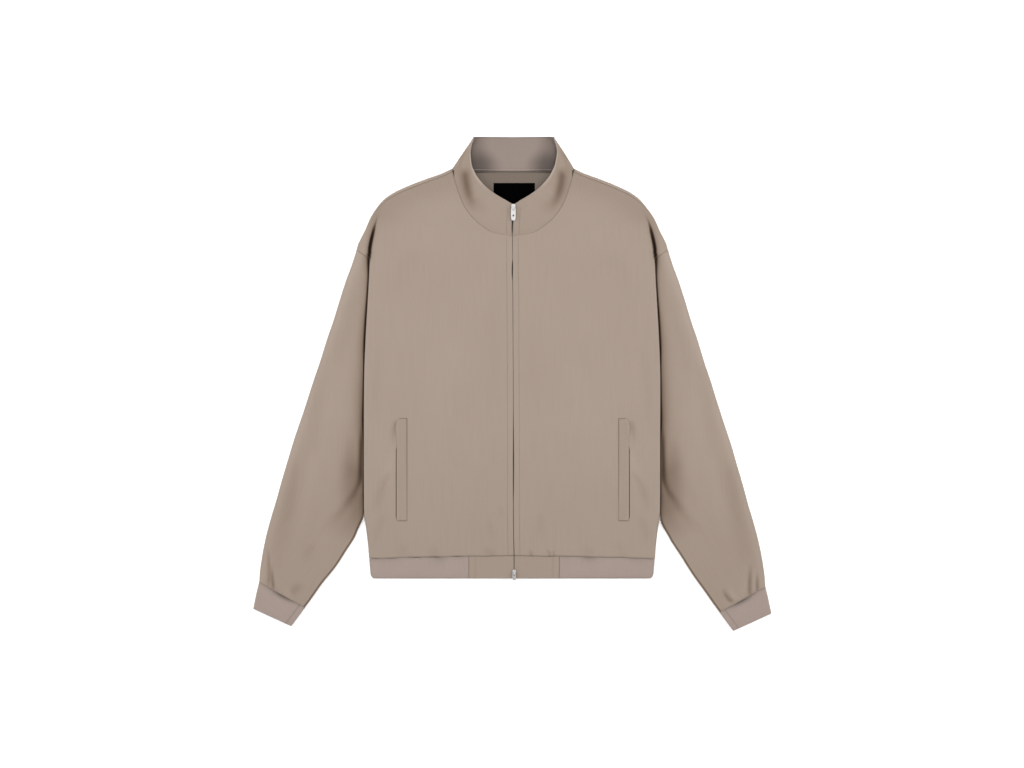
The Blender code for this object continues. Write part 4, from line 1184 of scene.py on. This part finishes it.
class JacketZip(bpy.types.PropertyGroup):
    pitch: FloatProperty(name="Pitch", description="Distance between teeth, in millimetres",
                         default=1.6, min=0.5)
    teeth: FloatVectorProperty(name="Teeth", description="Colour of the teeth",
                               subtype="COLOR", default=(0.035, 0.032, 0.03))
    tape: FloatVectorProperty(name="Tape", description="Colour of the tape",
                              subtype="COLOR", default=(0.02, 0.016, 0.013))
    metal: FloatVectorProperty(name="Metal", description="Colour of sliders and pull tabs",
                               subtype="COLOR", default=(0.34, 0.335, 0.33))


class JacketStudio(bpy.types.PropertyGroup):
    lens: FloatProperty(name="Lens", description="Focal length of the camera, in millimetres",
                        default=100.0, min=20.0)
    scale: FloatProperty(name="Scale", description="Millimetres of cloth to a picture point",
                         default=1.6, min=0.5)
    key: FloatProperty(name="Key", description="Strength of the soft light above the collar",
                       default=20.0, min=0.0)
    side: FloatProperty(name="Side", description="Strength of the soft light at each side",
                        default=30.0, min=0.0)
    over: FloatProperty(name="Over", description="Strength of the soft light over the body",
                        default=14.0, min=0.0)
    sky: FloatProperty(name="Sky", description="Strength of the even light from all round",
                       default=0.90, min=0.0)


# ---- operators ------------------------------------------------------------------------------

SIDES = ((-1, "right"), (1, "left"))


class Making:
    """What every operator of the jacket has in common."""

    bl_options = {"REGISTER", "UNDO"}


class JACKET_OT_back(Making, bpy.types.Operator):
    """Make the back, flat under the fronts, its inside showing in the neck."""

    bl_idname = "jacket.back"
    bl_label = "Back"

    def execute(self, context):
        look = context.scene.jacket_cloth
        grid = back_sheet()
        item = cloth("back_panel", "back", grid, WOVEN, woven_finish("woven_cloth_back", look),
                     uv=grid[..., :2])
        # The back's inside is a darker copy of the woven cloth: painted shade for the shadow in
        # the neck.
        item.data.materials.append(woven_finish("woven_cloth_inside_shaded", look, look.reverse))
        item.modifiers["wall"].material_offset = 1
        return {"FINISHED"}


class JACKET_OT_fronts(Making, bpy.types.Operator):
    """Make the two fronts, with the armhole folds and the drag lines below the pockets."""

    bl_idname = "jacket.fronts"
    bl_label = "Fronts"

    def execute(self, context):
        finish = woven_finish("woven_cloth", context.scene.jacket_cloth)
        for side, word in SIDES:
            grid, shade = front_sheet(side)
            across = cloth_uv(grid)[..., 0]
            uv = np.stack([across - across[:, -1:], grid[..., 1]], axis=2)
            cloth(f"front_panel_{word}", f"front_{word}", grid, WOVEN, finish,
                  shade, flip=side > 0, uv=uv)
        return {"FINISHED"}


class JACKET_OT_sleeves(Making, bpy.types.Operator):
    """Make the two sleeves, tubes pressed flat, creased at the elbow and above the cuff."""

    bl_idname = "jacket.sleeves"
    bl_label = "Sleeves"

    def execute(self, context):
        finish = woven_finish("woven_cloth_sleeve", context.scene.jacket_cloth)
        for side, word in SIDES:
            grid, shade = sleeve_sheet(side)
            cloth(f"sleeve_panel_{word}", f"sleeve_{word}", grid, WOVEN, finish,
                  shade, closed=True, flip=side > 0)
        return {"FINISHED"}


class JACKET_OT_cuffs(Making, bpy.types.Operator):
    """Make the two rib cuffs."""

    bl_idname = "jacket.cuffs"
    bl_label = "Cuffs"

    def execute(self, context):
        look = context.scene.jacket_rib
        finish = knit_finish("rib_cuff", look)
        for side, word in SIDES:
            ring, shade = (np.concatenate([one, one[:, :1]], axis=1) for one in cuff_sheet(side))
            grid, shade = knit_relief(ring, shade, look, -side)
            cloth(f"cuff_rib_{word}", f"cuff_{word}", grid[:, :-1], CUFF_WALL, finish,
                  shade[:, :-1], closed=True, flip=side > 0)
        return {"FINISHED"}


class JACKET_OT_collar(Making, bpy.types.Operator):
    """Make the stand collar: woven cloth outside and rib knit inside, a ring laid flat."""

    bl_idname = "jacket.collar"
    bl_label = "Collar"

    def execute(self, context):
        look, rib = context.scene.jacket_cloth, context.scene.jacket_rib
        levels = np.r_[-0.035, -0.012, np.linspace(0.0, 0.94, 30),
                       0.955, 0.97, 0.982, 0.991, 0.996, 1.0]
        grid = collar_sheet(levels, 0)
        cloth("collar_cloth", "collar_outer", grid, COLLAR_CLOTH,
              woven_finish("woven_cloth_collar", look),
              collar_shade(grid), flip=True)
        levels = np.linspace(-0.075, 1.0, 34)
        face = collar_sheet(levels, 3)
        face[..., 1] += neck_rise(face, levels[:, None])
        grid = face - normals(face) * (COLLAR_CLOTH + GAP + COLLAR_KNIT)
        grid, shade = knit_relief(grid, rib_shade(grid), rib, -1)
        cloth("collar_rib", "collar_inner", grid, COLLAR_KNIT - 0.2,
              knit_finish("rib_collar", rib), shade)
        return {"FINISHED"}


class JACKET_OT_waistband(Making, bpy.types.Operator):
    """Make the rib waistband and the two plain tabs beside the zip."""

    bl_idname = "jacket.waistband"
    bl_label = "Waistband"

    def execute(self, context):
        look, rib = context.scene.jacket_cloth, context.scene.jacket_rib
        grid = hem_sheet()
        grid, shade = knit_relief(grid, hem_shade(grid), rib, -1)
        cloth("waistband_rib", "hem_rib", grid, HEM_WALL, knit_finish("rib_waistband", rib),
              shade)
        finish = woven_finish("woven_cloth_tab", look)
        for side, word in SIDES:
            grid, shade = tab_sheet(side)
            cloth(f"waist_tab_{word}", f"hem_tab_{word}", grid, WOVEN, finish,
                  shade, flip=side < 0)
        return {"FINISHED"}


class JACKET_OT_pockets(Making, bpy.types.Operator):
    """Make the two pocket welts."""

    bl_idname = "jacket.pockets"
    bl_label = "Pockets"

    def execute(self, context):
        finish = woven_finish("woven_cloth_welt", context.scene.jacket_cloth)
        for side, word in SIDES:
            grid, shade = welt_sheet(side)
            cloth(f"welt_{word}", f"pocket_welt_{word}", grid, WELT_WALL, finish,
                  shade, flip=side < 0)
        return {"FINISHED"}


class JACKET_OT_zip(Making, bpy.types.Operator):
    """Make the zip's two tapes and its closed row of teeth: short round bars across the zip,
    from one tape and the other by turns, as long as the chain is wide."""

    bl_idname = "jacket.zip"
    bl_label = "Zip"

    def execute(self, context):
        look = context.scene.jacket_zip
        finish = tape_finish("zip_tape", look.tape)
        y = np.linspace(ZIP_TOP, ZIP_END, 240)[:, None]
        across = np.linspace(0.7, COIL_WIDTH / 2 + TAPE_WIDTH, 7)[None, :]
        for side, word in SIDES:
            grid = mesh_grid(zip_x(y[:, 0])[:, None] + side * across, y,
                             cloth_top(y) - WOVEN - 2 * GAP)
            cloth(f"tape_{word}", f"zip_tape_{word}", grid, TAPE_CLOTH, finish,
                  flip=side < 0)
        count = int((ZIP_TOP - 6.0 - ZIP_END) / look.pitch * 2.0)
        y = np.linspace(ZIP_END + 4.0, ZIP_TOP - 8.0, count)
        turn = np.where(np.arange(count) % 2 == 0, COIL_WIDTH, -COIL_WIDTH)
        near, far = (np.stack([zip_x(y) + turn * part, y, cloth_top(y) - WOVEN - GAP / 2], axis=1)
                     for part in (0.46, -0.16))
        teeth = bars("teeth", near, far, look.pitch * 0.3,
                     plain_finish("zip_teeth", look.teeth, 0.35, 0.6))
        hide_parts("zip_coil")
        return {"FINISHED"}


class JACKET_OT_sliders(Making, bpy.types.Operator):
    """Finish the sliders and pull tabs as polished metal with worn patches and rounded edges, and
    painted shade on the sides that don't face up.
    """

    bl_idname = "jacket.sliders"
    bl_label = "Sliders"

    def execute(self, context):
        finish = plain_finish("zip_metal", context.scene.jacket_zip.metal, 0.42, 1.0, 0.5)
        for name in ("slider_top", "slider_end", "pull_tab_top", "pull_tab_end"):
            node = frame["nodes"][name]
            node.data.materials.clear()
            node.data.materials.append(finish)
            node.modifiers.new("weld", "WELD").merge_threshold = 0.01 * MM
            edge = node.modifiers.new("edge", "BEVEL")
            edge.width = 0.18 * MM
            edge.segments = 2
        return {"FINISHED"}


class JACKET_OT_label(Making, bpy.types.Operator):
    """Make the plain neck label, its edges turned under."""

    bl_idname = "jacket.label"
    bl_label = "Label"

    def execute(self, context):
        across = np.linspace(-0.5, 0.5, 50)[None, :]
        level = np.linspace(0.0, 1.0, 36)[:, None]
        edge = np.minimum(LABEL_WIDTH * (0.5 - np.abs(across)),
                          LABEL_HEIGHT * np.minimum(level, 1.0 - level))
        grid = mesh_grid(LABEL_CENTRE + LABEL_WIDTH * across, LABEL_TOP - LABEL_HEIGHT * level,
                         WOVEN + GAP + LABEL_CLOTH - edge_roll(edge, 0.6))
        cloth("label", "neck_label", grid, LABEL_CLOTH * 0.8,
              satin_finish("label_satin", (0.0006,) * 3))
        return {"FINISHED"}


class JACKET_OT_sewing(Making, bpy.types.Operator):
    """Sew the topstitching: beside the zip, round the welts, up the collar and in the neck."""

    bl_idname = "jacket.sewing"
    bl_label = "Sewing"

    def execute(self, context):
        look = context.scene.jacket_sewing
        finish = plain_finish("thread", look.colour, 0.6)
        pieces = bpy.data.objects
        y = np.linspace(234.0, HEM_SEAM + 2.0, 80)
        top, foot = WELT_TOP - 0.9, WELT_BOTTOM + 0.9
        for side, word in SIDES:
            line = np.column_stack([zip_x(y) + side * ZIP_STITCH, y])
            seam_stitches(f"zip_stitches_{word}", [line], pieces[f"front_panel_{word}"], look,
                          finish)
            near, far = side * np.array([WELT_INNER + 0.8, WELT_OUTER - 1.0]) + WELT_LEFT_SHIFT
            corners = (((near, foot), (near, top)), ((near, top), (far - side * 5.0, top)),
                       ((near, foot), (far, foot)))
            seam_stitches(f"welt_stitches_{word}", [np.array(ends) for ends in corners],
                          pieces[f"welt_{word}"], look, finish)
        y = np.linspace(240.0, 283.0, 20)
        seam_stitches("collar_stitches", [np.column_stack([zip_x(y) + aside, y])
                                          for aside in (-ZIP_STITCH, ZIP_STITCH + 1.6)],
                      pieces["collar_cloth"], look, finish)
        neck = np.array([(-62.0, BACK_NECK + 1.6), (66.0, BACK_NECK + 1.6)])
        seam_stitches("neck_stitches", [neck], pieces["collar_rib"], look,
                      plain_finish("thread_light", look.light, 0.6))
        return {"FINISHED"}


class JACKET_OT_stage(Making, bpy.types.Operator):
    """Set the pale floor, the soft studio lights and the camera straight above."""

    bl_idname = "jacket.stage"
    bl_label = "Stage"

    def execute(self, context):
        look, scene = context.scene.jacket_studio, context.scene
        mesh = bpy.data.meshes.new("floor")
        mesh.from_pydata([(-6, -6, 0), (6, -6, 0), (6, 6, 0), (-6, 6, 0)], [], [(0, 1, 2, 3)])
        floor = linked("floor", mesh)
        floor.location.z = -0.2 * MM
        mesh.materials.append(Finish("floor_paper", Roughness=0.9,
                                     Base_Color=(0.93, 0.93, 0.93, 1.0)).material)
        scene.world = bpy.data.worlds.new("studio")
        scene.world.use_nodes = True
        backdrop = scene.world.node_tree.nodes["Background"].inputs
        backdrop["Color"].default_value = (1.0, 1.0, 1.0, 1.0)
        backdrop["Strength"].default_value = look.sky
        for name, place, size, power in (
                ("key", (0.0, 1.7, 1.9), 1.6, look.key),
                ("left", (-2.2, 0.1, 1.3), 1.2, look.side),
                ("right", (2.2, 0.1, 1.3), 1.2, look.side),
                ("over", (0.0, 0.1, 2.3), 1.4, look.over)):
            lamp = bpy.data.lights.new(name, "AREA")
            lamp.energy, lamp.size, lamp.shape = power, size, "DISK"
            light = linked(name, lamp)
            light.location = place
            light.rotation_euler = (-Vector(place)).to_track_quat("-Z", "Y").to_euler()
        data = bpy.data.cameras.new("camera")
        data.lens, data.sensor_width, data.clip_end = look.lens, 36.0, 50.0
        scene.camera = linked("camera", data)
        away = PICTURE_WIDTH * look.scale * look.lens / data.sensor_width + BODY_HEIGHT
        scene.camera.location = (0.64 * MM, 0.0, away * MM)
        scene.view_settings.view_transform = "Standard"
        return {"FINISHED"}


class JACKET_PT_panel(bpy.types.Panel):
    """Lists the jacket's pieces and their settings."""

    bl_idname = "JACKET_PT_panel"
    bl_label = "Track jacket"
    bl_space_type = "VIEW_3D"
    bl_region_type = "UI"
    bl_category = "Jacket"

    def draw(self, context):
        for group in GROUPS:
            settings = getattr(context.scene, group)
            box = self.layout.box()
            for name in settings.bl_rna.properties.keys():
                if name not in ("rna_type", "name"):
                    box.prop(settings, name)
        for operator in OPERATORS:
            self.layout.operator(operator.bl_idname)


GROUPS = {
    "jacket_cloth": JacketCloth, "jacket_rib": JacketRib, "jacket_sewing": JacketSewing,
    "jacket_zip": JacketZip, "jacket_studio": JacketStudio,
}
OPERATORS = (
    JACKET_OT_back, JACKET_OT_fronts, JACKET_OT_sleeves, JACKET_OT_cuffs, JACKET_OT_collar,
    JACKET_OT_waistband, JACKET_OT_pockets, JACKET_OT_zip, JACKET_OT_sliders, JACKET_OT_label,
    JACKET_OT_sewing, JACKET_OT_stage,
)


def register():
    for made in (*GROUPS.values(), *OPERATORS, JACKET_PT_panel):
        bpy.utils.register_class(made)
    for name, group in GROUPS.items():
        setattr(bpy.types.Scene, name, PointerProperty(type=group))


def unregister():
    for name in GROUPS:
        delattr(bpy.types.Scene, name)
    for made in (JACKET_PT_panel, *reversed(OPERATORS), *reversed(GROUPS.values())):
        bpy.utils.unregister_class(made)


def main():
    """Register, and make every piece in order."""
    register()
    for operator in OPERATORS:
        getattr(bpy.ops.jacket, operator.bl_idname.split(".")[1])()


if __name__ == "__main__":
    main()
